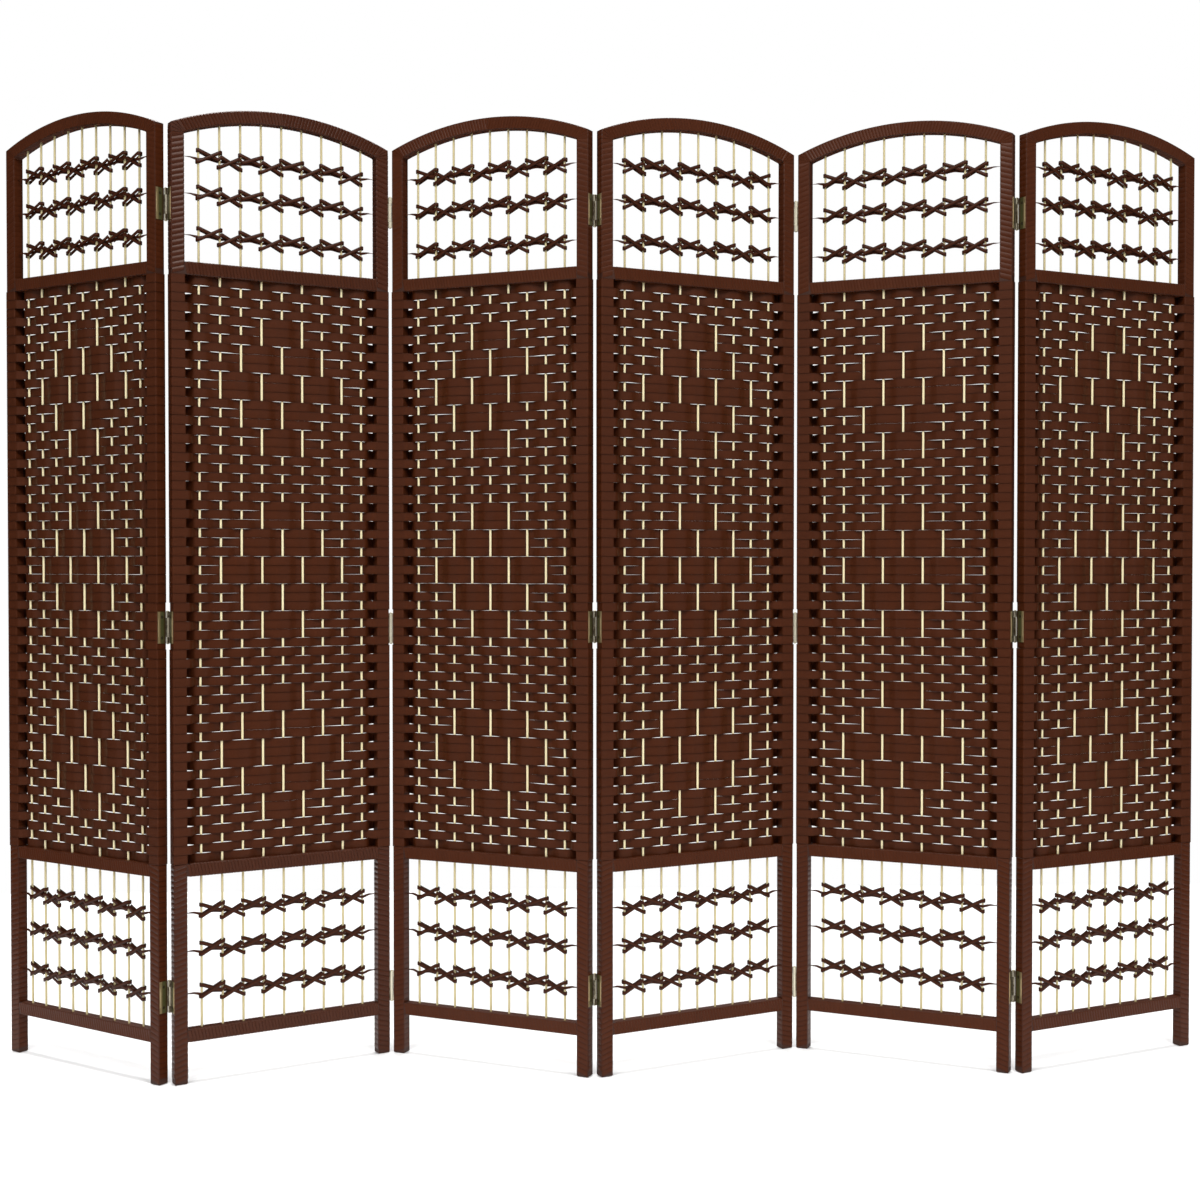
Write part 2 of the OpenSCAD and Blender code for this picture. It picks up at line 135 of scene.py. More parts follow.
@dataclass(frozen=True)
class Screen:
    """The zigzag in which the panels stand, with a hinge pin at every fold.

    The leans are the panels' angles in degrees, and the turned panels are worked end for end.
    """

    sizes: PanelSizes = PanelSizes()
    leans: tuple[float, ...] = (35.9, 29.3, 26.8, 26.2, 27.6, 25.3)
    pin_out: float = 3.2
    pin_off: float = 1.9
    wrap: float = 1.25
    turned: tuple[int, ...] = (4, 6)

    def along(self, panel: int) -> Vector:
        """Direction of a panel from its left end to its right end."""
        lean = math.radians(self.leans[panel - 1]) * (-1 if panel % 2 else 1)
        return Vector((math.cos(lean), math.sin(lean), 0.0))

    def inward(self, panel: int) -> Vector:
        """Direction from a panel's front face to its back."""
        run = self.along(panel)
        return Vector((-run.y, run.x, 0.0))

    def pin_depth(self, fold: int) -> float:
        """Depth of a fold's pin axis, behind the panels or in front of them."""
        return self.sizes.depth + self.pin_off if fold % 2 else -self.pin_off

    def origin(self, panel: int) -> Vector:
        """Front left corner of a panel, counted from the first one's.

        Args:
            panel: Number of the panel.

        Returns:
            The corner in millimetres.
        """
        if panel == 1:
            return Vector((0.0, 0.0, 0.0))
        fold = panel - 1
        pin = (self.origin(fold) + self.along(fold) * (self.sizes.width + self.pin_out)
               + self.inward(fold) * self.pin_depth(fold))
        return pin + self.along(panel) * self.pin_out - self.inward(panel) * self.pin_depth(fold)

    def centre(self) -> Vector:
        """Middle of the screen's outline on the floor.

        Returns:
            The middle of the box round all panels, with the turns of strip at their corners.
        """
        corners = [self.origin(i) + self.along(i) * u + self.inward(i) * v
                   for i in range(1, PANELS + 1)
                   for u in (-self.wrap, self.sizes.width + self.wrap)
                   for v in (-self.wrap, self.sizes.depth + self.wrap)]
        middle = []
        for axis in (0, 1):
            span = [corner[axis] for corner in corners]
            middle.append((min(span) + max(span)) / 2)
        return Vector((*middle, 0.0))

    def stand(self, panel: int) -> Matrix:
        """Matrix that takes a panel's millimetres to its place on the floor in metres.

        Args:
            panel: Number of the panel.

        Returns:
            The matrix.
        """
        place = self.origin(panel) - self.centre()
        columns = (self.along(panel), self.inward(panel), Vector((0.0, 0.0, 1.0)), place)
        rows = [[column[axis] * MM for column in columns] for axis in range(3)]
        return Matrix(rows + [[0.0, 0.0, 0.0, 1.0]])


# ---------------------------------------------------------------------------
# Modelling bench
# ---------------------------------------------------------------------------


@dataclass(frozen=True)
class Section:
    """Cross-section of a strip, as points across its width and out of its face."""

    across: tuple[float, ...]
    out: tuple[float, ...]

    @classmethod
    def flat(cls, width: float, thickness: float, edge: float) -> "Section":
        """Section of a flat strip whose edges are rounded over a short distance.

        Args:
            width: Full width of the strip.
            thickness: Full thickness of the strip.
            edge: Distance over which the edge is rounded.

        Returns:
            A section of six points.
        """
        half, side = width / 2, width / 2 - edge
        up = thickness / 2
        return cls((-half, -side, side, half, side, -side), (0.0, up, up, 0.0, -up, -up))


def fresh(add: Callable[..., set[str]], **options: object) -> bpy.types.Object:
    """Deselects everything and adds one object.

    Args:
        add: Operator that adds the object.
        options: Options of the operator.

    Returns:
        The new object.
    """
    bpy.ops.object.select_all(action="DESELECT")
    add(**options)
    return bpy.context.object


class Bench:
    """Makes closed strips from a grid primitive, copies them and joins them."""

    merge: float = 0.0005
    most_sides: int = 12

    def strip(self, name: str, points: np.ndarray, along: np.ndarray, across: np.ndarray,
              ring: bool = False) -> bpy.types.Object:
        """Models one closed strip.

        Args:
            name: Name of the new object.
            points: Places of the surface, as (stations along, points of the section, 3).
            along: Length from the start at each station, one more of them for a ring.
            across: Distance across the strip at each point of the section.
            ring: True for a strip whose end meets its start.

        Returns:
            The strip as an object with a UV map in metres along and across it.
        """
        stations, sides = points.shape[:2]
        cells = stations if ring else stations - 1
        piece = fresh(bpy.ops.mesh.primitive_grid_add, x_subdivisions=cells, y_subdivisions=sides,
                      size=2.0)
        piece.name = name
        mesh = piece.data
        grid = np.empty(len(mesh.vertices) * 3)
        mesh.vertices.foreach_get("co", grid)
        grid = grid.reshape(-1, 3)
        row = np.rint((grid[:, 0] + 1) / 2 * cells).astype(int)
        side = np.rint((grid[:, 1] + 1) / 2 * sides).astype(int)
        mesh.vertices.foreach_set("co", points[row % stations, side % sides].ravel())
        corner = np.empty(len(mesh.loops), dtype=np.int32)
        mesh.loops.foreach_get("vertex_index", corner)
        across = np.append(across, across[0])
        uv = np.stack([along[row[corner]], across[side[corner]]], axis=1) * MM
        mesh.uv_layers.active.data.foreach_set("uv", uv.ravel())
        self.close()
        return piece

    def close(self) -> None:
        """Merges the active grid's seam, fills its ends and turns its faces outwards."""
        bpy.ops.object.mode_set(mode="EDIT")
        bpy.ops.mesh.select_all(action="SELECT")
        bpy.ops.mesh.remove_doubles(threshold=self.merge)
        bpy.ops.mesh.fill_holes(sides=self.most_sides)
        bpy.ops.mesh.select_all(action="SELECT")
        bpy.ops.mesh.normals_make_consistent(inside=False)
        bpy.ops.object.mode_set(mode="OBJECT")

    def sweep(self, name: str, path: np.ndarray, out: np.ndarray, across: np.ndarray,
              section: Section, scale: np.ndarray | None = None,
              ring: bool = False) -> bpy.types.Object:
        """Carries a section along a path.

        Args:
            name: Name of the new object.
            path: Middle of the strip at each station.
            out: Unit vector out of the strip's face at each station.
            across: Unit vector across the strip at each station.
            section: The cross-section.
            scale: Share of the section's width at each station, or None for all of it.
            ring: True for a path that ends where it starts.

        Returns:
            The strip as an object.
        """
        wide = np.ones(len(path)) if scale is None else scale
        side = np.array(section.across)
        lift = np.array(section.out)
        spread = (side[None, :] * wide[:, None])[:, :, None]
        points = (path[:, None, :] + across[:, None, :] * spread
                  + out[:, None, :] * lift[None, :, None])
        closed = np.vstack([path, path[:1]]) if ring else path
        steps = np.linalg.norm(np.diff(closed, axis=0), axis=1)
        return self.strip(name, points, np.concatenate([[0.0], np.cumsum(steps)]), side, ring)

    @staticmethod
    def copy(piece: bpy.types.Object, matrix: Matrix, slide: float) -> bpy.types.Object:
        """Copies a strip with its own mesh.

        Args:
            piece: The strip to copy.
            matrix: Place of the copy in the panel.
            slide: Length in metres by which the copy's pattern is moved along it.

        Returns:
            The copy.
        """
        twin = piece.copy()
        twin.data = piece.data.copy()
        bpy.context.collection.objects.link(twin)
        twin.data.transform(matrix)
        layer = twin.data.uv_layers.active.data
        uv = np.empty(len(layer) * 2)
        layer.foreach_get("uv", uv)
        uv[0::2] += slide
        layer.foreach_set("uv", uv)
        return twin

    @staticmethod
    def join(name: str, pieces: list[bpy.types.Object], angle: float = 50.0) -> bpy.types.Object:
        """Joins strips to one piece.

        Args:
            name: Name of the piece.
            pieces: The strips.
            angle: Angle in degrees between faces up to which the piece is smooth.

        Returns:
            The piece.
        """
        bpy.ops.object.select_all(action="DESELECT")
        for piece in pieces:
            piece.select_set(True)
        bpy.context.view_layer.objects.active = pieces[0]
        bpy.ops.object.join()
        whole = bpy.context.object
        whole.name = whole.data.name = name
        bpy.ops.object.shade_smooth_by_angle(angle=math.radians(angle))
        return whole

    @staticmethod
    def discard(pieces: list[bpy.types.Object]) -> None:
        """Deletes the patterns from which copies were made.

        Args:
            pieces: The patterns.
        """
        for piece in pieces:
            mesh = piece.data
            bpy.data.objects.remove(piece)
            bpy.data.meshes.remove(mesh)


def ease(share: float) -> float:
    """Share of a step that starts and ends softly."""
    return (1 - math.cos(math.pi * share)) / 2


def upright(path: np.ndarray) -> np.ndarray:
    """Upward unit vectors, one for each point of a path."""
    return np.tile([0.0, 0.0, 1.0], (len(path), 1))


def side_vectors(path: np.ndarray, ring: bool = False) -> np.ndarray:
    """Unit vectors in the floor plane, square to a path, on its right-hand side.

    Args:
        path: Points of the path.
        ring: True for a path that ends where it starts.

    Returns:
        One vector for each point.
    """
    if ring:
        tangent = np.roll(path, -1, axis=0) - np.roll(path, 1, axis=0)
    else:
        tangent = np.gradient(path, axis=0)
    out = np.stack([tangent[:, 1], -tangent[:, 0], np.zeros(len(path))], axis=1)
    return out / np.linalg.norm(out, axis=1, keepdims=True)


# ---------------------------------------------------------------------------
# Shader graphs
# ---------------------------------------------------------------------------


class Wire:
    """An output of a shader graph that takes part in Python expressions."""

    def __init__(self, graph: "Graph", socket: bpy.types.NodeSocket) -> None:
        """Wraps one output socket."""
        self.graph = graph
        self.socket = socket

    def __add__(self, other: "Wire | float") -> "Wire":
        """Sum."""
        return self.graph.maths("ADD", self, other)

    __radd__ = __add__

    def __sub__(self, other: "Wire | float") -> "Wire":
        """Difference."""
        return self.graph.maths("SUBTRACT", self, other)

    def __rsub__(self, other: float) -> "Wire":
        """Difference from a number."""
        return self.graph.maths("SUBTRACT", other, self)

    def __mul__(self, other: "Wire | float") -> "Wire":
        """Product."""
        return self.graph.maths("MULTIPLY", self, other)

    __rmul__ = __mul__

    def __truediv__(self, other: "Wire | float") -> "Wire":
        """Quotient."""
        return self.graph.maths("DIVIDE", self, other)

    def __pow__(self, other: "Wire | float") -> "Wire":
        """Power."""
        return self.graph.maths("POWER", self, other)

    def clamp(self) -> "Wire":
        """The value held between 0 and 1."""
        return self.graph.node("ShaderNodeClamp", {}, {"Value": self}, "Result")


class Graph:
    """A material and the nodes that make it."""

    def __init__(self, name: str) -> None:
        """Starts an empty node tree with a principled shader.

        Args:
            name: Name of the material.
        """
        self.material = bpy.data.materials.new(name)
        self.material.use_nodes = True
        self.tree = self.material.node_tree
        self.shader = self.tree.nodes["Principled BSDF"]

    @classmethod
    def in_tree(cls, tree: bpy.types.NodeTree) -> "Graph":
        """Opens a node tree that is there already.

        Args:
            tree: The node tree.

        Returns:
            A graph without a material or shader of its own.
        """
        graph = cls.__new__(cls)
        graph.tree = tree
        return graph

    def node(self, kind: str, settings: dict, values: dict, output: str | int = 0) -> Wire:
        """Adds a node.

        Args:
            kind: Type of the node.
            settings: Settings of the node, such as an operation, or ramp for a ramp's stops.
            values: Numbers, colours or wires for its inputs, by name or number.
            output: Name or number of the output that is returned.

        Returns:
            The wanted output.
        """
        made = self.tree.nodes.new(kind)
        for key, value in settings.items():
            if key == "ramp":
                self.stops(made, value)
            else:
                setattr(made, key, value)
        for key, value in values.items():
            self.feed(made.inputs[key], value)
        return Wire(self, made.outputs[output])

    @staticmethod
    def stops(made: bpy.types.Node, stops: list[tuple[float, Colour]]) -> None:
        """Sets the stops of a colour ramp.

        Args:
            made: The ramp's node.
            stops: Places between 0 and 1 with their colours.
        """
        elements = made.color_ramp.elements
        while len(elements) < len(stops):
            elements.new(0.5)
        for element, (place, colour) in zip(elements, stops):
            element.position = place
            element.color = (*colour, 1.0)

    def feed(self, socket: bpy.types.NodeSocket, value: object) -> None:
        """Links a wire to an input, or sets the input to a number or colour.

        Args:
            socket: The input.
            value: A wire, a number or a colour.
        """
        if isinstance(value, Wire):
            self.tree.links.new(value.socket, socket)
        elif isinstance(value, tuple) and len(value) == 3 and socket.type == "RGBA":
            socket.default_value = (*value, 1.0)
        else:
            socket.default_value = value

    def maths(self, operation: str, first: "Wire | float", second: "Wire | float" = 0.0) -> Wire:
        """Adds a Math node."""
        return self.node("ShaderNodeMath", {"operation": operation}, {0: first, 1: second})

    def mix(self, share: "Wire | float", first: "Wire | Colour", second: "Wire | Colour",
            blend: str = "MIX") -> Wire:
        """Mixes two colours by a share."""
        return self.node("ShaderNodeMix", {"data_type": "RGBA", "blend_type": blend},
                         {0: share, 6: first, 7: second}, 2)

    def place(self, x: "Wire | float", y: "Wire | float", z: "Wire | float" = 0.0) -> Wire:
        """Joins three numbers to a vector."""
        return self.node("ShaderNodeCombineXYZ", {}, {0: x, 1: y, 2: z})

    def split(self, vector: Wire) -> tuple[Wire, Wire, Wire]:
        """Splits a vector into three numbers.

        Args:
            vector: The vector.

        Returns:
            Its three parts.
        """
        first = self.node("ShaderNodeSeparateXYZ", {}, {0: vector})
        parts = first.socket.node.outputs
        return Wire(self, parts[0]), Wire(self, parts[1]), Wire(self, parts[2])

    def noise(self, vector: Wire, scale: float, detail: float = 3.0, rough: float = 0.5) -> Wire:
        """Soft noise between 0 and 1."""
        return self.node("ShaderNodeTexNoise", {},
                         {"Vector": vector, "Scale": scale, "Detail": detail, "Roughness": rough})

    def coordinates(self) -> Wire:
        """Object coordinates, in metres."""
        return self.node("ShaderNodeTexCoord", {}, {}, "Object")

    def ramp(self, share: Wire, stops: list[tuple[float, Colour]]) -> Wire:
        """Turns a number into a colour."""
        return self.node("ShaderNodeValToRGB", {"ramp": stops}, {0: share})

    def bump(self, height: Wire, strength: float, distance: float) -> Wire:
        """Normal of a surface with a fine relief, its height in metres being distance."""
        return self.node("ShaderNodeBump", {},
                         {"Height": height, "Strength": strength, "Distance": distance})

    def surface(self, **values: object) -> bpy.types.Material:
        """Feeds the principled shader.

        Args:
            values: Numbers, colours or wires by the inputs' names, spaces being underscores.

        Returns:
            The finished material.
        """
        for key, value in values.items():
            self.feed(self.shader.inputs[key.replace("_", " ")], value)
        return self.material


# ---------------------------------------------------------------------------
# Finishes
# ---------------------------------------------------------------------------


def shaded(colour: Colour, share: float) -> Colour:
    """A colour of which a share is left."""
    return tuple(part * share for part in colour)


@dataclass(frozen=True)
class StripFinish:
    """Dark brown flat fibre strip with streaks along it and painted shade along its edges.

    Fibres and patches are given as waves in a metre along and across the strip, lengths as
    waves in a metre along it, and tone as what fibres, patches and lengths add to the colour's
    share and what is taken off it. The half width is in millimetres.
    """

    name: str
    dark: Colour
    light: Colour
    half_width: float
    roughness: float = 0.36
    # Edge is how strongly painted shade darkens the strip's edges; edge_shade is how dark it gets.
    edge: float = 0.5
    specular: float = 0.16
    sheen: Colour = (0.90, 0.79, 0.73)
    relief: float = 0.00018
    fibres: Point = (35.0, 1700.0)
    patches: Point = (7.0, 60.0)
    lengths: float = 2.3
    tone: tuple[float, ...] = (0.55, 0.3, 0.35, 0.12)
    edge_power: float = 5.0
    edge_shade: float = 0.32
    bump: float = 0.55

    def make(self) -> bpy.types.Material:
        """Builds the material from the strip's own UV map, in metres.

        Returns:
            The material.
        """
        graph = Graph(self.name)
        run, side, _ = graph.split(graph.node("ShaderNodeUVMap", {}, {}))
        fibre, patch = (graph.place(run * along, side * across)
                        for along, across in (self.fibres, self.patches))
        fibre = graph.noise(fibre, 1.0, 4.0, 0.62)
        patch = graph.noise(patch, 1.0, 2.0)
        lengthwise = graph.noise(graph.place(run * self.lengths, 3.7), 1.0, 2.0)
        rim = (graph.maths("ABSOLUTE", side) / (self.half_width * MM)).clamp() ** self.edge_power
        by_fibre, by_patch, by_length, less = self.tone
        tone = (fibre * by_fibre + patch * by_patch + lengthwise * by_length - less).clamp()
        colour = graph.mix(tone, self.dark, self.light)
        # Painted shade: the edges are darkened, standing in for the shade between neighbouring
        # strips.
        colour = graph.mix(rim * self.edge, colour, shaded(self.dark, self.edge_shade))
        rough = self.roughness + (patch - 0.5) * 0.25 - (fibre - 0.5) * 0.12
        height = fibre * 0.6 + patch * 0.25 - rim * 0.5
        return graph.surface(Base_Color=colour, Roughness=rough, Specular_IOR_Level=self.specular,
                             Specular_Tint=self.sheen,
                             Normal=graph.bump(height, self.bump, self.relief))


@dataclass(frozen=True)
class WoodFinish:
    """Wood with a fine grain along Z, in the object's own coordinates.

    The fresh colours are used between the weave heights and are painted light: the rods are lighter
    inside the weave, where the strips keep light off them, and darker in the open windows,
    where they stand against the bright backdrop.
    Grain and figure are waves in a metre, across the wood and along it, and tone is what both
    add to the colour's share and what is taken off it.
    """

    name: str
    dark: Colour
    light: Colour
    roughness: float
    grain: float
    # Lighter colours for the rods inside the weave: painted light.
    fresh: tuple[Colour, Colour] | None = None
    weave_heights: Point = (0.38, 1.402)
    grain_along: float = 9.0
    figure: Point = (26.0, 2.4)
    tone: tuple[float, ...] = (0.6, 0.55, 0.08)
    border: float = 200.0
    specular: float = 0.3
    relief: float = 0.0001

    def make(self) -> bpy.types.Material:
        """Builds the material.

        Returns:
            The material.
        """
        graph = Graph(self.name)
        x, y, z = graph.split(graph.coordinates())
        across, along = self.figure
        fine = graph.noise(graph.place(x * self.grain, y * self.grain, z * self.grain_along),
                           1.0, 4.0, 0.6)
        broad = graph.noise(graph.place(x * across, y * across, z * along), 1.0, 2.0)
        by_grain, by_figure, less = self.tone
        tone = (fine * by_grain + broad * by_figure - less).clamp()
        colour = graph.mix(tone, self.dark, self.light)
        # Painted light: lighter rods between the weave heights, darker rods in the open windows.
        if self.fresh:
            low, high = self.weave_heights
            inside = ((z - low) * self.border).clamp() * ((high - z) * self.border).clamp()
            colour = graph.mix(inside, colour, graph.mix(tone, *self.fresh))
        rough = self.roughness + (fine - 0.5) * 0.2
        return graph.surface(Base_Color=colour, Roughness=rough, Specular_IOR_Level=self.specular,
                             Normal=graph.bump(fine, 0.4, self.relief))


@dataclass(frozen=True)
class BrassFinish:
    """Aged brass with dull patches, small stains and rubbed spots.

    Clouds and specks are waves in a metre.
    """

    name: str
    dull: Colour
    bright: Colour
    roughness: float
    wear: float = 0.5
    clouds: float = 95.0
    specks: float = 900.0
    metal: float = 0.6
    relief: float = 0.00006

    def make(self) -> bpy.types.Material:
        """Builds the material.

        Returns:
            The material.
        """
        graph = Graph(self.name)
        place = graph.coordinates()
        cloud = graph.noise(place, self.clouds, 4.0, 0.6)
        speck = graph.noise(place, self.specks, 3.0, 0.6)
        rubbed = ((cloud * 0.7 + speck * 0.4 - 0.42) * 2.4).clamp() * self.wear
        colour = graph.mix(rubbed, self.dull, self.bright)
        stain = ((speck - 0.6) * 5.0).clamp()
        colour = graph.mix(stain * 0.5, colour, shaded(self.dull, 0.25))
        rough = self.roughness + (cloud - 0.5) * 0.3 + stain * 0.15
        return graph.surface(Base_Color=colour, Roughness=rough, Metallic=self.metal,
                             Normal=graph.bump(speck, 0.3, self.relief))


@dataclass(frozen=True)
class LeafFinish:
    """Colours of a brass hinge leaf: patina, with painted highlights on its barrel and its far
    edge.

    The colours follow each other over the span, a length in metres across the leaf
    that starts on the barrel, ahead of the leaf's plate, with painted shade on the plate just
    beside the barrel. Clouds make their borders waver.
    """

    stain: Colour = (0.125, 0.110, 0.036)
    roughness: float = 0.36
    clouds: float = 160.0
    specks: float = 1100.0
    metal: float = 0.6
    relief: float = 0.0001
    waver: float = 0.0016
    ahead: float = 0.005
    span: float = 0.023
    # Painted highlight on the barrel, painted shade beside it, olive patina, painted highlight at
    # the far edge.
    patina_and_highlights: tuple[tuple[float, Colour], ...] = (
        (0.20, (0.70, 0.65, 0.50)), (0.25, (0.050, 0.027, 0.010)), (0.36, (0.075, 0.043, 0.016)),
        (0.46, (0.100, 0.088, 0.031)), (0.64, (0.105, 0.112, 0.040)), (0.74, (0.125, 0.100, 0.038)),
        (0.82, (0.31, 0.245, 0.115)), (0.97, (0.33, 0.245, 0.125)))

    def make(self, name: str, across: Vector, start: float) -> bpy.types.Material:
        """Builds the material of one leaf.

        Args:
            name: Name of the material.
            across: Direction across the leaf, away from the barrel.
            start: Distance in metres along that direction at which the leaf's plate starts.

        Returns:
            The material.
        """
        graph = Graph(name)
        place = graph.coordinates()
        x, y, _ = graph.split(place)
        cloud = graph.noise(place, self.clouds, 4.0, 0.6)
        speck = graph.noise(place, self.specks, 3.0, 0.6)
        reach = x * across.x + y * across.y - start + (cloud - 0.5) * self.waver
        # The ramp paints highlights and shade across the leaf as well as its patina.
        colour = graph.ramp((reach + self.ahead) * (1 / self.span), list(self.patina_and_highlights))
        stain = ((speck - 0.58) * 5.0).clamp()
        colour = graph.mix(stain * 0.6, colour, shaded(self.stain, 0.3))
        rough = self.roughness + (cloud - 0.5) * 0.3 + stain * 0.2
        return graph.surface(Base_Color=colour, Roughness=rough, Metallic=self.metal,
                             Normal=graph.bump(speck * 0.6 + cloud, 0.4, self.relief))


@dataclass(frozen=True)
class PaperFinish:
    """Plain pale studio floor."""

    name: str
    pale: Colour
    roughness: float = 0.9
    specular: float = 0.1
    clouds: float = 3.0
    cloud_shade: float = 0.985

    def make(self) -> bpy.types.Material:
        """Builds the material.

        Returns:
            The material.
        """
        graph = Graph(self.name)
        cloud = graph.noise(graph.coordinates(), self.clouds, 2.0)
        colour = graph.mix(cloud, self.pale, shaded(self.pale, self.cloud_shade))
        return graph.surface(Base_Color=colour, Roughness=self.roughness,
                             Specular_IOR_Level=self.specular)


Finish = StripFinish | WoodFinish | BrassFinish | PaperFinish


@dataclass
class Finishes:
    """All finishes of the screen, each made once."""

    winding: StripFinish = StripFinish(
        "wound_strip", dark=(0.037, 0.0080, 0.0019), light=(0.078, 0.0180, 0.0050), half_width=4.6)
    glossy: StripFinish = StripFinish(
        "glossy_strip", dark=(0.032, 0.0068, 0.0017), light=(0.066, 0.0151, 0.0044), half_width=4.6,
        roughness=0.34, specular=0.24)
    weft: StripFinish = StripFinish(
        "woven_strip", dark=(0.035, 0.0078, 0.0019), light=(0.075, 0.0175, 0.0049), half_width=8.1,
        roughness=0.44)
    # The laced bands get stronger painted shade on their edges, for their dark shadowed outlines.
    strand: StripFinish = StripFinish(
        "laced_strand", dark=(0.026, 0.0058, 0.0015), light=(0.060, 0.0138, 0.0040),
        half_width=2.9, edge=0.85)
    core: WoodFinish = WoodFinish(
        "frame_wood", dark=(0.020, 0.0050, 0.0016), light=(0.055, 0.0140, 0.0042), roughness=0.6,
        grain=240.0)
    # The fresh colours paint the rods lighter inside the weave than in the windows: painted light.
    rod: WoodFinish = WoodFinish(
        "pale_rod", dark=(0.47, 0.375, 0.170), light=(0.69, 0.610, 0.37), roughness=0.5,
        grain=900.0, fresh=((0.76, 0.62, 0.335), (0.95, 0.87, 0.59)))
    leaf: LeafFinish = LeafFinish()
    pin: BrassFinish = BrassFinish(
        "pin_brass", dull=(0.34, 0.30, 0.19), bright=(0.66, 0.60, 0.44), roughness=0.33)
    screw: BrassFinish = BrassFinish(
        "screw_brass", dull=(0.035, 0.026, 0.012), bright=(0.10, 0.08, 0.04), roughness=0.5)
    floor: PaperFinish = PaperFinish("pale_floor", (0.93, 0.93, 0.93))
    made: dict[str, bpy.types.Material] = field(default_factory=dict)

    def get(self, finish: Finish) -> bpy.types.Material:
        """The material of a finish, made when it is first asked for."""
        if finish.name not in self.made:
            self.made[finish.name] = finish.make()
        return self.made[finish.name]

    def dress(self, piece: bpy.types.Object, finish: Finish) -> None:
        """Gives a new piece its finish."""
        piece.data.materials.clear()
        piece.data.materials.append(self.get(finish))


# ---------------------------------------------------------------------------
# Sub-assemblies
# ---------------------------------------------------------------------------


@dataclass
class PanelWork:
    """Work that every panel has, and the patterns from which its strips are copied."""

    screen: Screen
    bench: Bench
    patterns: dict[object, bpy.types.Object] = field(default_factory=dict)

    def finish(self) -> None:
        """Clears the patterns away."""
        self.bench.discard(list(self.patterns.values()))


@dataclass
class Weft(PanelWork):
    """The flat strip woven row by row through the rods, with a turn round each post.

    The strip's edges are drawn in where a row and the one beside it pass a rod on two sides,
    less sharply along a float, which spans two bays. Rows are counted from 0 at the top. Lift
    and tilt are how much they differ from each other, and slide moves the fibres from row to row.
    """

    rows: int = 63
    thickness: float = 1.1
    post_room: float = 0.15
    rod_side: float = 3.05
    row_room: float = -0.06
    edge: float = 0.35
    corner: float = 1.0
    flank: float = 0.7
    inner_run: float = 4.0
    outer_run: float = 1.5
    bay_steps: int = 8
    ease_start: float = 0.2
    narrow_behind: float = 0.3
    narrow_front: float = 0.04
    narrow_reach: float = 0.46
    float_reach: float = 0.98
    float_power: float = 3.0
    post_slack: Point = (-0.9, 0.15)
    first_diamond: int = 4
    diamond_every: int = 20
    diamonds: int = 3
    step_rows: int = 3
    step_reach: tuple[int, ...] = (1, 2, 3, 2, 1)
    slip_row: int = 14
    slip_off: int = 2
    hinge_middle: Point = (785.0, 793.0)
    hinge_reach: float = 29.45
    lift: float = 0.08
    tilt: float = 0.0003
    slide: float = 0.41
    seed: int = 4100

    @property
    def pitch(self) -> float:
        """Height of one row."""
        return (self.screen.sizes.upper_rail - self.screen.sizes.woven_low) / self.rows

    def base(self, row: int) -> float:
        """Height of a row's lower edge."""
        return self.screen.sizes.upper_rail - (row + 1) * self.pitch

    def reach(self, row: int) -> int:
        """Half width of the diamond's step in a row.

        Args:
            row: Number of the row.

        Returns:
            The half width in rods, or -1 between diamonds.
        """
        for diamond in range(self.diamonds):
            step = (row - self.first_diamond - diamond * self.diamond_every) // self.step_rows
            if 0 <= step < len(self.step_reach):
                return self.step_reach[step]
        return -1

    def passes(self, panel: int, row: int) -> tuple[Pass, ...]:
        """Side on which the strip passes each rod of a row.

        Args:
            panel: Number of the panel.
            row: Number of the row.

        Returns:
            One side for each rod.
        """
        rods = self.screen.sizes.rods
        mid = (rods + 1) // 2
        slip = mid + (-self.slip_off if panel in self.screen.turned else self.slip_off)
        reach = self.reach(row)
        sides = []
        for rod in range(1, rods + 1):
            if row == self.slip_row and rod == slip:
                shows = False
            elif abs(rod - mid) <= reach:
                shows = (rod - mid + reach) % 2 == 0
            else:
                shows = (row + rod) % 2 == 0
            sides.append(Pass.BEHIND if shows else Pass.IN_FRONT)
        return tuple(sides)

    def sunk(self, panel: int, row: int) -> tuple[bool, bool]:
        """Whether a row's turns lie in the recess behind a middle hinge.

        Args:
            panel: Number of the panel.
            row: Number of the row.

        Returns:
            True or False for the left end and for the right end.
        """
        ends = []
        low = self.base(row)
        for fold in (panel - 1, panel):
            height = self.hinge_middle[fold % 2]
            under = low < height + self.hinge_reach and low + self.pitch > height - self.hinge_reach
            ends.append(under and 1 <= fold < PANELS)
        return ends[0], ends[1]

    def turn(self, behind: bool, sunk: bool) -> list[Point]:
        """Path of the turn round the left post, up to the corner where the strip leaves it.

        Args:
            behind: True where the strip leaves at the back of the post.
            sunk: True where the end of the turn lies in a hinge recess.

        Returns:
            Points (u, v) from the inner side of the post to the corner.
        """
        sizes = self.screen.sizes
        off = self.post_room + self.thickness / 2
        near, far = -off, sizes.depth + off
        end = off if sunk else -off
        inner = sizes.post + off
        bend = self.corner
        corners = [(inner, near, 0.0), (end, near, 90.0), (end, far, 180.0)]
        halfway = [(sizes.post / 2, near), (end, sizes.middle), (sizes.post / 2, far)]
        points = [(inner, far - self.inner_run), (inner, sizes.middle)]
        for (u, v, start), rest in zip(corners, halfway):
            centre = (u - bend if u > end else u + bend, v + bend if v < 0 else v - bend)
            arc = []
            for step in range(4):
                angle = math.radians(start + 30.0 * step)
                arc.append((centre[0] + bend * math.cos(angle), centre[1] - bend * math.sin(angle)))
            sine = self.flank * math.sin(math.radians(start))
            cosine = self.flank * math.cos(math.radians(start))
            before = (arc[0][0] + sine, arc[0][1] + cosine)
            after = (arc[-1][0] - cosine, arc[-1][1] + sine)
            points += [before, *arc, after, rest]
        points.append((inner - self.outer_run, far))
        return points if behind else [(u, sizes.depth - v) for u, v in points]

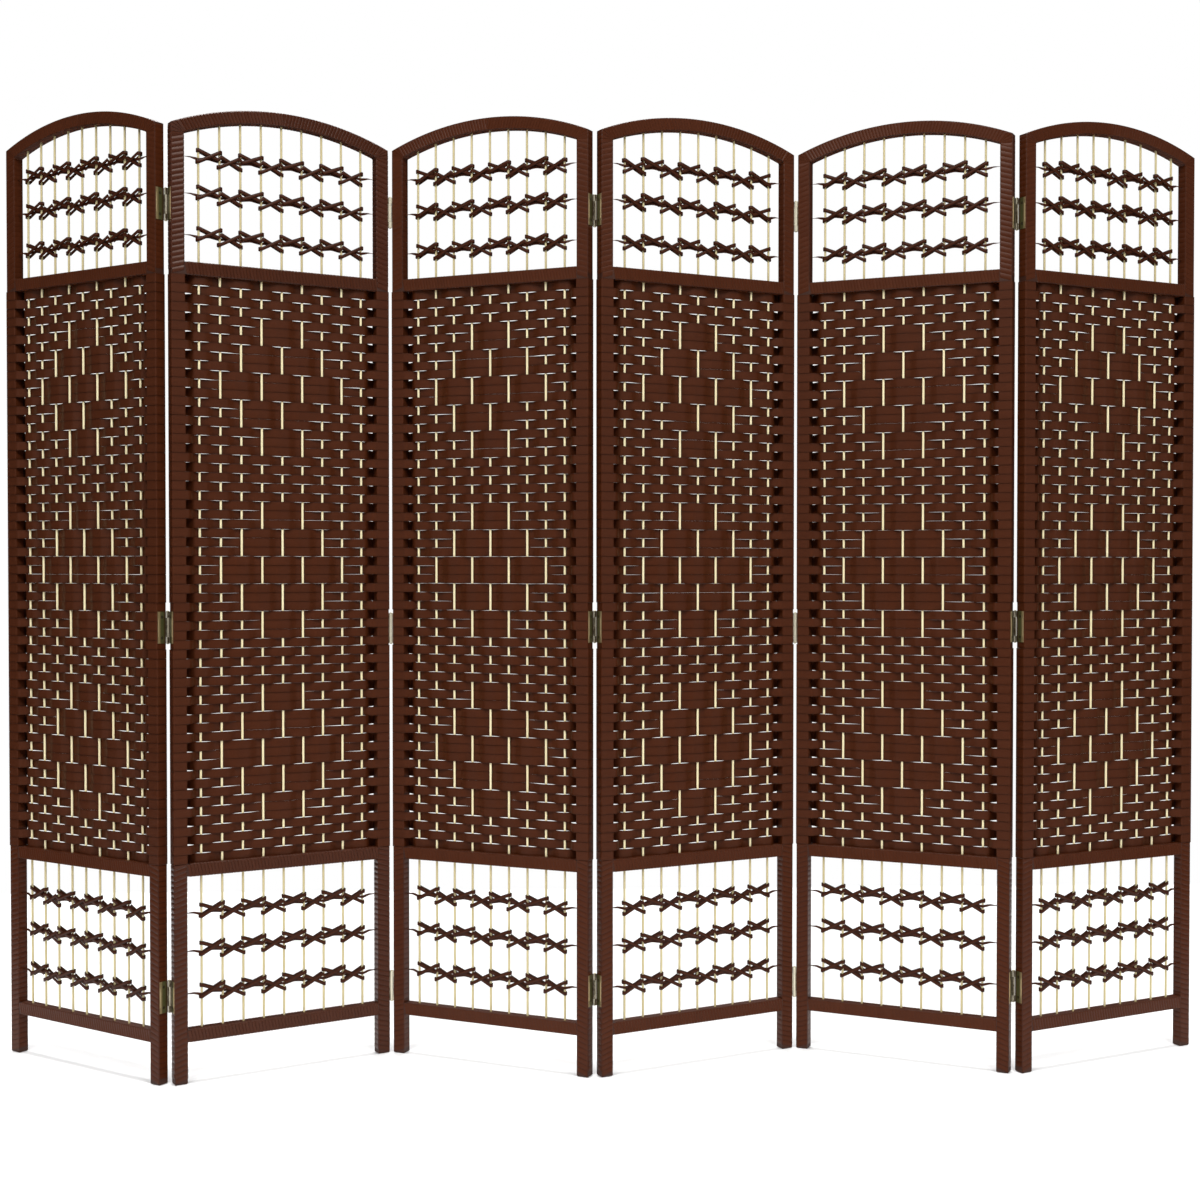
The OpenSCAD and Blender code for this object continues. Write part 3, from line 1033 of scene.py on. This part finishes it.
    def path(self, behind: bool, sides: tuple[Pass, ...], sunk: tuple[bool, bool]) -> np.ndarray:
        """Path of a whole row from post to post.

        Args:
            behind: True where the strip leaves the posts at their back.
            sides: Side on which the strip passes each rod.
            sunk: Whether the turns lie in a hinge recess, at the left and at the right.

        Returns:
            Points (u, v, 0) of the path.
        """
        sizes = self.screen.sizes
        left = self.turn(behind, sunk[0])
        right = [(sizes.width - u, v) for u, v in reversed(self.turn(behind, sunk[1]))]
        knots = [left[-1]]
        knots += [(sizes.rod(number + 1), sizes.middle + side.value * self.rod_side)
                  for number, side in enumerate(sides)]
        knots.append(right[0])
        woven = []
        for (u0, v0), (u1, v1) in zip(knots, knots[1:]):
            for step in range(self.bay_steps):
                share = step / self.bay_steps
                steep = min(max((share - self.ease_start) / (1 - 2 * self.ease_start), 0.0), 1.0)
                woven.append((u0 + (u1 - u0) * share, v0 + (v1 - v0) * ease(steep)))
        points = np.array(left[:-1] + woven + right)
        return np.column_stack([points, np.zeros(len(points))])

    def drawn_in(self, along: np.ndarray, behind: bool, sides: tuple[Pass, ...],
                 beside: tuple[Pass, ...]) -> np.ndarray:
        """How far one edge of the strip is drawn in.

        Args:
            along: Places along the panel.
            behind: True where the strip leaves the posts at their back.
            sides: Side on which the strip passes each rod.
            beside: Side on which the row above or below passes each rod.

        Returns:
            One distance for each place.
        """
        sizes = self.screen.sizes
        inset = np.zeros(len(along))
        for number, (own, other) in enumerate(zip(sides, beside)):
            if own is other:
                continue
            off = (along - sizes.rod(number + 1)) / sizes.rod_pitch
            depth = self.narrow_behind if own is Pass.BEHIND else self.narrow_front
            for turn in (-1, 1):
                near = number + turn
                floats = 0 <= near < len(sides) and sides[near] is own and beside[near] is own
                reach = self.float_reach if floats else self.narrow_reach
                power = self.float_power if floats else 1.0
                share = np.clip(off * turn / reach, 0.0, 1.0)
                here = depth * np.cos(share ** power * math.pi / 2)
                inset = np.maximum(inset, np.where(off * turn >= 0, here, 0.0))
        reach = np.minimum(along, sizes.width - along)
        share = np.clip((reach - sizes.post) / (sizes.rod(1) - sizes.post), 0.0, 1.0)
        return inset + self.post_slack[0 if behind else 1] * np.sin(share * math.pi)

    def pattern(self, panel: int, row: int) -> bpy.types.Object:
        """Strip of a row at height 0, modelled once for each way of weaving.

        Args:
            panel: Number of the panel.
            row: Number of the row.

        Returns:
            The strip.
        """
        own = self.passes(panel, row)
        above = self.passes(panel, row - 1) if row else own
        below = self.passes(panel, row + 1) if row + 1 < self.rows else own
        key = (row % 2 == 0, own, self.sunk(panel, row), above, below)
        if key not in self.patterns:
            path = self.path(*key[:3])
            out = side_vectors(path)
            width = self.pitch - self.row_room
            top, foot = (self.drawn_in(path[:, 0], key[0], own, other) for other in (above, below))
            path[:, 2] = (foot - top) / 2
            section = Section.flat(width, self.thickness, self.edge)
            self.patterns[key] = self.bench.sweep("row_pattern", path, out, upright(path), section,
                                                  1 - (top + foot) / width)
        return self.patterns[key]

    def build(self, panel: int, finishes: Finishes) -> bpy.types.Object:
        """Weaves one panel.

        Args:
            panel: Number of the panel.
            finishes: The finishes of the screen.

        Returns:
            The woven piece, standing in its place.
        """
        dice = random.Random(self.seed + panel)
        strips = []
        for row in range(self.rows):
            height = self.base(row) + self.pitch / 2 + dice.uniform(-self.lift, self.lift)
            tilt = Matrix.Rotation(dice.uniform(-self.tilt, self.tilt), 4, "Y")
            place = Matrix.Translation((0.0, 0.0, height)) @ tilt
            slide = self.slide * row + dice.random()
            strips.append(self.bench.copy(self.pattern(panel, row), place, slide))
        piece = self.bench.join(f"weft_{panel}", strips)
        piece.data.transform(self.screen.stand(panel))
        finishes.dress(piece, finishes.weft)
        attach(piece, f"panel_{panel}")
        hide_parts(f"weave_{panel}")
        return piece


@dataclass(frozen=True)
class BandShape:
    """Course of a looped band: shares of its length, and its heights over the row there.

    The depth is that of its two layers in front of the rods' axes and behind them.
    """

    shares: tuple[float, ...]
    heights: tuple[float, ...]
    depth: float

    def height(self, share: float) -> float:
        """Height of both layers at a share of the band's length."""
        return float(np.interp(share, self.shares, self.heights))


@dataclass
class Lacing(PanelWork):
    """Laced rows of the open windows: a flat cord through the rods, held between looped bands.

    The cord's heights over its row are given from rod to rod, for odd and even bays and for the
    tails, and the bands' stations as shares of their length. Lift is how much the bands differ
    in height, and slide is how far the fibres are moved from band to band.
    """

    heights: tuple[float, ...] = (154.876, 228.835, 295.585, 1471.434, 1543.095, 1606.08)
    cord_width: float = 4.8
    cord_odd: tuple[float, ...] = (-3.2, -1.6, 0.0, -1.4, -2.6)
    cord_even: tuple[float, ...] = (-2.6, -1.6, -1.2, -1.6, -3.2)
    cord_first: tuple[float, ...] = (0.0, 0.0, 0.0, -1.6, -3.2)
    cord_last: tuple[float, ...] = (-3.2, -1.6, 0.0, 0.0, 0.0)
    cord_thickness: float = 0.6
    cord_steps: int = 9
    cord_side: float = 2.6
    cord_edge: float = 0.5
    tail: float = 12.0
    tail_room: float = 0.15
    tail_twist: float = 80.0
    tail_start: float = 4.0
    taper: float = 0.55
    band_width: float = 6.8
    band_thickness: float = 0.9
    band_edge: float = 0.6
    stations: tuple[float, ...] = (0.1, 0.2, 0.3, 0.4, 0.46, 0.5, 0.54, 0.6, 0.7, 0.8, 0.9)
    falling: BandShape = BandShape((0.0, 0.46, 0.54, 1.0), (12.8, -0.4, 5.4, -12.6), 3.1)
    rising: BandShape = BandShape((0.0, 0.46, 0.54, 1.0), (-12.6, 5.4, -0.4, 12.8), 4.2)
    first: BandShape = BandShape((0.0, 1.0), (-6.8, 12.8), 4.2)
    last: BandShape = BandShape((0.0, 1.0), (-12.6, 7.0), 4.2)
    lift: float = 0.25
    slide: float = 3.0
    seed: int = 5200

    def band(self, bays: int, shape: BandShape) -> bpy.types.Object:
        """Band that loops round two rods, standing upright everywhere.

        Args:
            bays: Number of bays that the band spans.
            shape: Course of its two layers.

        Returns:
            The band at the first rod's axis, modelled once for each shape.
        """
        if shape not in self.patterns:
            run = bays * self.screen.sizes.rod_pitch
            radius = shape.depth + self.band_thickness / 2
            layer = [(run * share, shape.height(share)) for share in self.stations]
            bend = [(radius * math.sin(turn), radius * math.cos(turn))
                    for turn in map(math.radians, range(0, 181, 30))]
            loop = [(u, -radius, z) for u, z in layer]
            loop += [(run + u, -v, shape.height(1.0)) for u, v in bend]
            loop += [(u, radius, z) for u, z in reversed(layer)]
            loop += [(-u, v, shape.height(0.0)) for u, v in bend]
            path = np.array(loop)
            section = Section.flat(self.band_width, self.band_thickness, self.band_edge)
            self.patterns[shape] = self.bench.sweep(
                "band_pattern", path, side_vectors(path, ring=True), upright(path), section,
                ring=True)
        return self.patterns[shape]

    def cord_height(self, place: float) -> float:
        """Height of the cord over its row.

        Args:
            place: Place along the panel.

        Returns:
            The height, less than 0 below the row.
        """
        sizes = self.screen.sizes
        bay, share = divmod((place - sizes.rod(1)) / sizes.rod_pitch, 1.0)
        heights = self.cord_even if int(bay) % 2 else self.cord_odd
        if bay < 0:
            heights = self.cord_first
            share = (place - sizes.post) / (sizes.rod(1) - sizes.post)
        elif bay >= sizes.rods - 1:
            heights = self.cord_last
            end = sizes.rod(sizes.rods)
            share = (place - end) / (sizes.width - sizes.post - end)
        return float(np.interp(share, np.linspace(0.0, 1.0, len(heights)), heights))

    def cord_path(self) -> np.ndarray:
        """Path of a cord from post to post.

        Returns:
            Points (u, v, z), z from the middle of the row.
        """
        sizes = self.screen.sizes
        knots = [(sizes.post + self.tail_room, sizes.middle),
                 (sizes.rod(1) - self.tail, sizes.middle)]
        knots += [(sizes.rod(rod), sizes.middle + (-1 if rod % 2 else 1) * self.cord_side)
                  for rod in range(1, sizes.rods + 1)]
        knots += [(sizes.width - u, v) for u, v in reversed(knots[:2])]
        points = []
        for (u0, v0), (u1, v1) in zip(knots, knots[1:]):
            for step in range(self.cord_steps):
                share = step / self.cord_steps
                place = u0 + (u1 - u0) * share
                points.append((place, v0 + (v1 - v0) * ease(share), self.cord_height(place)))
        points.append((*knots[-1], 0.0))
        return np.array(points)

    def cord(self) -> bpy.types.Object:
        """Flat cord of one row, with tails that turn edge-on towards the posts.

        Returns:
            The cord, modelled once.
        """
        key = "cord"
        if key not in self.patterns:
            sizes = self.screen.sizes
            path = self.cord_path()
            start, end = sizes.rod(1) - self.tail_start, sizes.post + self.tail_room
            reach = np.minimum(path[:, 0], sizes.width - path[:, 0])
            share = np.clip((start - reach) / (start - end), 0.0, 1.0)
            twist = (share * math.radians(self.tail_twist))[:, None]
            flat, up = side_vectors(path), upright(path)
            out = flat * np.cos(twist) + up * np.sin(twist)
            across = up * np.cos(twist) - flat * np.sin(twist)
            section = Section.flat(self.cord_width, self.cord_thickness, self.cord_edge)
            self.patterns[key] = self.bench.sweep("cord_pattern", path, out, across, section,
                                                  1 - self.taper * share)
        return self.patterns[key]

    def row(self, dice: random.Random, height: float) -> list[bpy.types.Object]:
        """Lays the cord and the bands of one row.

        Args:
            dice: Source of the small differences between the bands.
            height: Height of the row.

        Returns:
            The strips of the row.
        """
        sizes = self.screen.sizes
        last = sizes.rods
        bands = [(rod, rod + 2, self.falling) for rod in range(1, last - 1, 2)]
        bands += [(rod, rod + 2, self.rising) for rod in range(2, last - 1, 2)]
        bands += [(1, 2, self.first), (last - 1, last, self.last)]
        level = Matrix.Translation((0.0, 0.0, height))
        strips = [self.bench.copy(self.cord(), level, dice.random())]
        for start, end, shape in bands:
            lift = dice.uniform(-self.lift, self.lift)
            place = Matrix.Translation((sizes.rod(start), sizes.middle, height + lift))
            band = self.band(end - start, shape)
            strips.append(self.bench.copy(band, place, dice.random() * self.slide))
        return strips

    def build(self, panel: int, finishes: Finishes) -> bpy.types.Object:
        """Laces both windows of one panel.

        Args:
            panel: Number of the panel.
            finishes: The finishes of the screen.

        Returns:
            The laced rows as one piece, standing in its place.
        """
        dice = random.Random(self.seed + panel)
        strips = [strip for height in self.heights for strip in self.row(dice, height)]
        piece = self.bench.join(f"laced_rows_{panel}", strips)
        if panel in self.screen.turned:
            piece.data.transform(self.screen.sizes.mirror())
            piece.data.flip_normals()
        piece.data.transform(self.screen.stand(panel))
        finishes.dress(piece, finishes.strand)
        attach(piece, f"panel_{panel}")
        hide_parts(f"lacing_{panel}")
        return piece


@dataclass
class Winding(PanelWork):
    """The strip wound round posts, rails and arch, turn by turn.

    Across and proud give the strip's section, as shares of a turn's width and as heights over
    the bar. Advance is the share of a turn at each of a bar's eight bends, which are the four
    sides' ends: front, inner side, back, outer side. Looseness is how far each panel's strip
    stands up, and slack is that of the panel in work. Apart keeps the clamped ends of the
    strip from closing up, and slide moves the fibres of the right half.
    """

    post_pitch: float = 9.3
    rail_pitch: float = 6.0
    rail_room: float = 0.3
    foot: float = 1.6
    edge: float = 1.0
    fan_reach: float = 1.5
    across: tuple[float, ...] = (0.0, 0.1, 0.85, 1.0, 1.0, 0.0)
    proud: tuple[float, ...] = (0.4, 0.78, 0.85, 0.02, -0.3, -0.3)
    advance: tuple[float, ...] = (0.0, 0.7, 0.73, 0.79, 0.82, 0.86, 0.89, 0.95)
    end_room: float = 0.02
    apart: float = 0.004
    looseness: tuple[float, ...] = (0.5, 1.0, 0.5, 0.7, 0.5, 0.55)
    slack: float = 1.0
    slide: float = 1.7
    smooth: float = 32.0

    def coil(self, name: str, inner: np.ndarray, outer: np.ndarray,
             width: float) -> bpy.types.Object:
        """Winds the strip round a bar.

        Args:
            name: Name of the strip.
            inner: Points (u, z) of the bar's inner edge, one for each turn's start.
            outer: Points (u, z) of its outer edge, across the bar from the inner ones.
            width: Width of the strip, for its pattern.

        Returns:
            The wound strip as one piece.
        """
        depth, inset = self.screen.sizes.depth, self.edge
        turns = len(inner) - 1
        bend = np.tile(np.arange(8), turns)
        start = np.repeat(np.arange(turns), 8) + np.array(self.advance)[bend]
        side = np.array(self.across)
        lift = np.array(self.proud)
        lift = np.where(lift > 0, lift * self.slack, lift)
        share = np.clip(start[:, None] + side[None, :], self.end_room, turns - self.end_room)
        share = share + np.arange(len(side))[None, :] * self.apart
        count = np.arange(turns + 1)
        edge_in, edge_out = (np.stack([np.interp(share, count, edge[:, axis]) for axis in (0, 1)],
                                      axis=-1) for edge in (inner, outer))
        cross = edge_in - edge_out
        cross /= np.linalg.norm(cross, axis=-1, keepdims=True)

        def among(*bends: int) -> np.ndarray:
            """Picks the stations that stand at some of the eight bends."""
            return np.isin(bend, bends)[:, None, None]

        flat = np.where(among(1, 2, 3, 4), edge_in, edge_out)
        flat = flat + cross * inset * among(0, 5) - cross * inset * among(1, 4)
        flat = flat + cross * lift[None, :, None] * among(2, 3)
        flat = flat - cross * lift[None, :, None] * among(6, 7)
        near, far = inset, depth - inset
        depths = np.array([0.0, 0.0, near, far, depth, depth, far, near])[bend]
        facing = np.array([-1.0, -1.0, 0.0, 0.0, 1.0, 1.0, 0.0, 0.0])[bend]
        v = depths[:, None] + facing[:, None] * lift[None, :]
        points = np.stack([flat[..., 0], v, flat[..., 1]], axis=-1)
        steps = np.linalg.norm(np.diff(points[:, 1], axis=0), axis=1)
        along = np.concatenate([[0.0], np.cumsum(steps)])
        return self.bench.strip(name, points, along, (side - 0.5) * width)

    def post_marks(self, low: float, top: float) -> np.ndarray:
        """Heights at which the turns round a post start."""
        return np.linspace(low, top, max(2, round((top - low) / self.post_pitch)) + 1)

    def post_low(self) -> bpy.types.Object:
        """Strip round the foot of the left post, below the weave.

        Returns:
            The wound strip.
        """
        marks = self.post_marks(self.foot, self.screen.sizes.woven_low)
        inner = np.column_stack([np.full(len(marks), self.screen.sizes.post), marks])
        outer = np.column_stack([np.zeros(len(marks)), marks])
        return self.coil("post_strip", inner, outer, self.post_pitch)

    def rail(self, low: float) -> bpy.types.Object:
        """Strip round a straight rail.

        Args:
            low: Height of the rail's underside.

        Returns:
            The wound strip.
        """
        sizes = self.screen.sizes
        start = sizes.post + self.rail_room
        end = sizes.width - sizes.post - self.rail_room
        marks = np.linspace(start, end, round((end - start) / self.rail_pitch) + 1)
        inner = np.column_stack([marks, np.full(len(marks), low)])
        outer = np.column_stack([marks, np.full(len(marks), low + sizes.rail)])
        return self.coil("rail_strip", inner, outer, self.rail_pitch)

    def shoulder(self) -> tuple[list[Point], list[Point]]:
        """Ends of the turns that fan round the inner corner of the left shoulder.

        Returns:
            Points (u, z) of the bar's inner edge and of its outer edge, one for each turn.
        """
        sizes = self.screen.sizes
        corner = (sizes.post, sizes.arch_height(sizes.post, sizes.arch_bar))
        first = (corner[0], corner[1] - self.fan_reach)
        past = corner[0] + self.fan_reach
        last = (past, sizes.arch_height(past, sizes.arch_bar))
        radial = sizes.arch_point(sizes.arch_angle(*last))
        side_run = sizes.arch_height(0.0) - first[1]
        top_run = math.hypot(radial[0], radial[1] - sizes.arch_height(0.0))
        count = round((side_run + top_run) / self.post_pitch)
        inner, outer = [], []
        for step in range(count + 1):
            share = step / count
            run = share * (side_run + top_run)
            inner.append(tuple(a + (b - a) * share for a, b in zip(first, last)))
            if run <= side_run:
                outer.append((0.0, first[1] + run))
            else:
                u = radial[0] * (run - side_run) / top_run
                outer.append((u, sizes.arch_height(u)))
        return inner, outer

    def crown(self) -> bpy.types.Object:
        """Strip up the left post from the weave, round the shoulder and over half of the arch.

        Returns:
            The wound strip.
        """
        sizes = self.screen.sizes
        fan_in, fan_out = self.shoulder()
        marks = self.post_marks(sizes.upper_rail, fan_in[0][1])[:-1]
        inner = [(sizes.post, mark) for mark in marks] + fan_in
        outer = [(0.0, mark) for mark in marks] + fan_out
        first = sizes.arch_angle(*fan_in[-1])
        count = round(-first * sizes.arch_radius / self.rail_pitch)
        for step in range(1, count + 1):
            angle = first * (1 - step / count)
            inner.append(sizes.arch_point(angle, sizes.arch_bar))
            outer.append(sizes.arch_point(angle))
        return self.coil("crown_strip", np.array(inner), np.array(outer), self.rail_pitch)

    def build(self, panel: int, finishes: Finishes) -> bpy.types.Object:
        """Winds the frame of one panel.

        Args:
            panel: Number of the panel.
            finishes: The finishes of the screen.

        Returns:
            The wound piece, standing in its place.
        """
        sizes = self.screen.sizes
        self.slack = self.looseness[panel - 1]
        halves = [self.post_low(), self.crown()]
        strips = list(halves)
        for half in halves:
            twin = self.bench.copy(half, sizes.mirror(), self.slide)
            twin.data.flip_normals()
            strips.append(twin)
        strips += [self.rail(low)
                   for low in (sizes.bottom_rail, sizes.lower_rail, sizes.upper_rail)]
        piece = self.bench.join(f"winding_{panel}", strips, self.smooth)
        piece.data.transform(self.screen.stand(panel))
        finishes.dress(piece, finishes.winding if self.slack < 1 else finishes.glossy)
        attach(piece, f"panel_{panel}")
        return piece


@dataclass
class CarriedParts:
    """Frame parts that keep their shape and get their finish here."""

    screen: Screen
    finishes: Finishes

    @staticmethod
    def repaint(node: str, finish: bpy.types.Material) -> None:
        """Gives a part of the frame a better finish in its own material slots."""
        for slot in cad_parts[node].material_slots:
            slot.material = finish

    def leaves(self) -> None:
        """Gives each hinge leaf its patina and painted highlights, from the barrel to the far edge.
        """
        screen = self.screen
        for fold in range(1, PANELS):
            face, turn = (screen.sizes.depth, -1.0) if fold % 2 else (0.0, 1.0)
            for name, panel in ((f"leaf_left_{fold}", fold), (f"leaf_right_{fold}", fold + 1)):
                inward = screen.inward(panel)
                corner = screen.origin(panel) - screen.centre() + inward * face
                across = inward * turn
                self.repaint(name, self.finishes.leaf.make(f"brass_{name}", across,
                                                           corner.dot(across) * MM))

    def dress(self) -> None:
        """Repaints each part by the kind that its name starts with."""
        self.leaves()
        looks = self.finishes
        kinds = {"posts": looks.core, "arch_rail": looks.core, "cross_rails": looks.core,
                 "rods": looks.rod, "screws": looks.screw, "hinge_pins": looks.pin}
        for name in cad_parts:
            for start, finish in kinds.items():
                if name.startswith(start):
                    self.repaint(name, looks.get(finish))


# ---------------------------------------------------------------------------
# Studio
# ---------------------------------------------------------------------------


@dataclass(frozen=True)
class Lamp:
    """A soft light: its place in metres, its width and height, and its watts."""

    name: str
    place: tuple[float, float, float]
    size: Point
    watts: float


@dataclass
class Studio:
    """Floor, lights and camera. The camera's angles are in degrees, its picture in pixels."""

    finishes: Finishes
    image: float = 1200.0
    focal: float = 52.8
    film: float = 36.0
    axis_offset: float = 55.2
    stand: tuple[float, float, float] = (-0.06467, -3.19002, 0.900)
    turn: float = -2.78
    tilt: float = -1.11
    roll: float = -0.04
    floor_size: Point = (4.2, 3.4)
    floor_drop: float = 0.0005
    glow: tuple[Point, ...] = ((0.0, 0.42), (0.3, 0.4), (0.52, 0.08), (1.0, 0.06))
    rise: tuple[Point, ...] = ((0.0, 0.3), (0.46, 0.5), (0.54, 1.0), (1.0, 1.0))
    sun_strength: float = 2.3
    sun_spread: float = 8.0
    aim: tuple[float, float, float] = (0.0, 0.0, 0.85)
    lamps: tuple[Lamp, ...] = (
        Lamp("key_light", (-1.6, -3.1, 4.0), (1.6, 1.4), 100.0),
        Lamp("fill_light", (1.6, -3.1, 4.0), (1.6, 1.4), 100.0),
        Lamp("left_light", (-3.3, -2.2, 1.1), (0.4, 1.8), 8.0),
        Lamp("right_light", (3.3, -2.2, 1.1), (0.4, 1.8), 8.0),
        Lamp("back_light", (0.0, 3.2, 3.8), (2.4, 1.6), 100.0))

    def camera(self) -> None:
        """Sets the camera at the photograph's place, looking along +Y, a little right and down."""
        eye = fresh(bpy.ops.object.camera_add, location=self.stand)
        eye.name = "photo_camera"
        place = Matrix.Translation(self.stand)
        for angle, axis in ((self.turn, "Z"), (self.tilt, "X"), (self.roll, "Y"), (90.0, "X")):
            place = place @ Matrix.Rotation(math.radians(angle), 4, axis)
        eye.matrix_world = place
        eye.data.sensor_width = self.film
        eye.data.lens = self.focal
        eye.data.shift_x = -self.axis_offset / self.image
        bpy.context.scene.camera = eye

    def floor(self) -> None:
        """Lays a plain pale floor."""
        sheet = fresh(bpy.ops.mesh.primitive_plane_add, size=1.0)
        sheet.name = "floor"
        sheet.data.transform(Matrix.Translation((0.0, 0.0, -self.floor_drop))
                             @ Matrix.Diagonal((*self.floor_size, 1.0, 1.0)))
        self.finishes.dress(sheet, self.finishes.floor)

    def light(self, lamp: Lamp) -> None:
        """Hangs a soft light that faces the middle of the screen.

        Args:
            lamp: The light's sizes.
        """
        hung = fresh(bpy.ops.object.light_add, type="AREA", location=lamp.place)
        hung.name = lamp.name
        hung.data.shape = "RECTANGLE"
        hung.data.size, hung.data.size_y = lamp.size
        hung.data.energy = lamp.watts
        aim = Vector(self.aim) - Vector(lamp.place)
        hung.rotation_euler = aim.to_track_quat("-Z", "Y").to_euler()

    def sun(self) -> None:
        """Lights the floor from straight above."""
        sun = fresh(bpy.ops.object.light_add, type="SUN", location=(0.0, 0.0, 4.0))
        sun.name = "top_light"
        sun.data.energy = self.sun_strength
        sun.data.angle = math.radians(self.sun_spread)

    def surroundings(self) -> None:
        """Makes the white background and the soft light, brightest in front of the screen."""
        world = bpy.data.worlds.new("studio")
        world.use_nodes = True
        tree = world.node_tree
        around = Graph.in_tree(tree)
        _, depth, height = around.split(around.node("ShaderNodeTexCoord", {}, {}, "Generated"))
        level = [around.ramp(part * 0.5 + 0.5, [(place, (value,) * 3) for place, value in stops])
                 for part, stops in ((depth, self.glow), (height, self.rise))]
        soft = tree.nodes["Background"]
        around.feed(soft.inputs["Color"], around.mix(1.0, level[0], level[1], "MULTIPLY"))
        white = around.node("ShaderNodeBackground", {}, {"Color": (1.0, 1.0, 1.0)})
        seen = around.node("ShaderNodeLightPath", {}, {}, "Is Camera Ray")
        lit = Wire(around, soft.outputs[0])
        shown = around.node("ShaderNodeMixShader", {}, {0: seen, 1: lit, 2: white})
        around.feed(tree.nodes["World Output"].inputs["Surface"], shown)
        bpy.context.scene.world = world
        bpy.context.scene.view_settings.view_transform = "Standard"

    def build(self) -> None:
        """Sets up the whole studio."""
        self.camera()
        self.floor()
        self.surroundings()
        self.sun()
        for lamp in self.lamps:
            self.light(lamp)


def main() -> None:
    """Builds the studio and the screen piece by piece and logs each piece's faces."""
    logging.basicConfig(level=logging.INFO, format="%(message)s")
    finishes = Finishes()
    Studio(finishes).build()
    screen, bench = Screen(), Bench()
    CarriedParts(screen, finishes).dress()
    works = [Weft(screen, bench), Lacing(screen, bench), Winding(screen, bench)]
    for panel in range(1, PANELS + 1):
        for work in works:
            piece = work.build(panel, finishes)
            log.info("%s: %d faces", piece.name, len(piece.data.polygons))
    for work in works:
        work.finish()


if __name__ == "__main__":
    main()
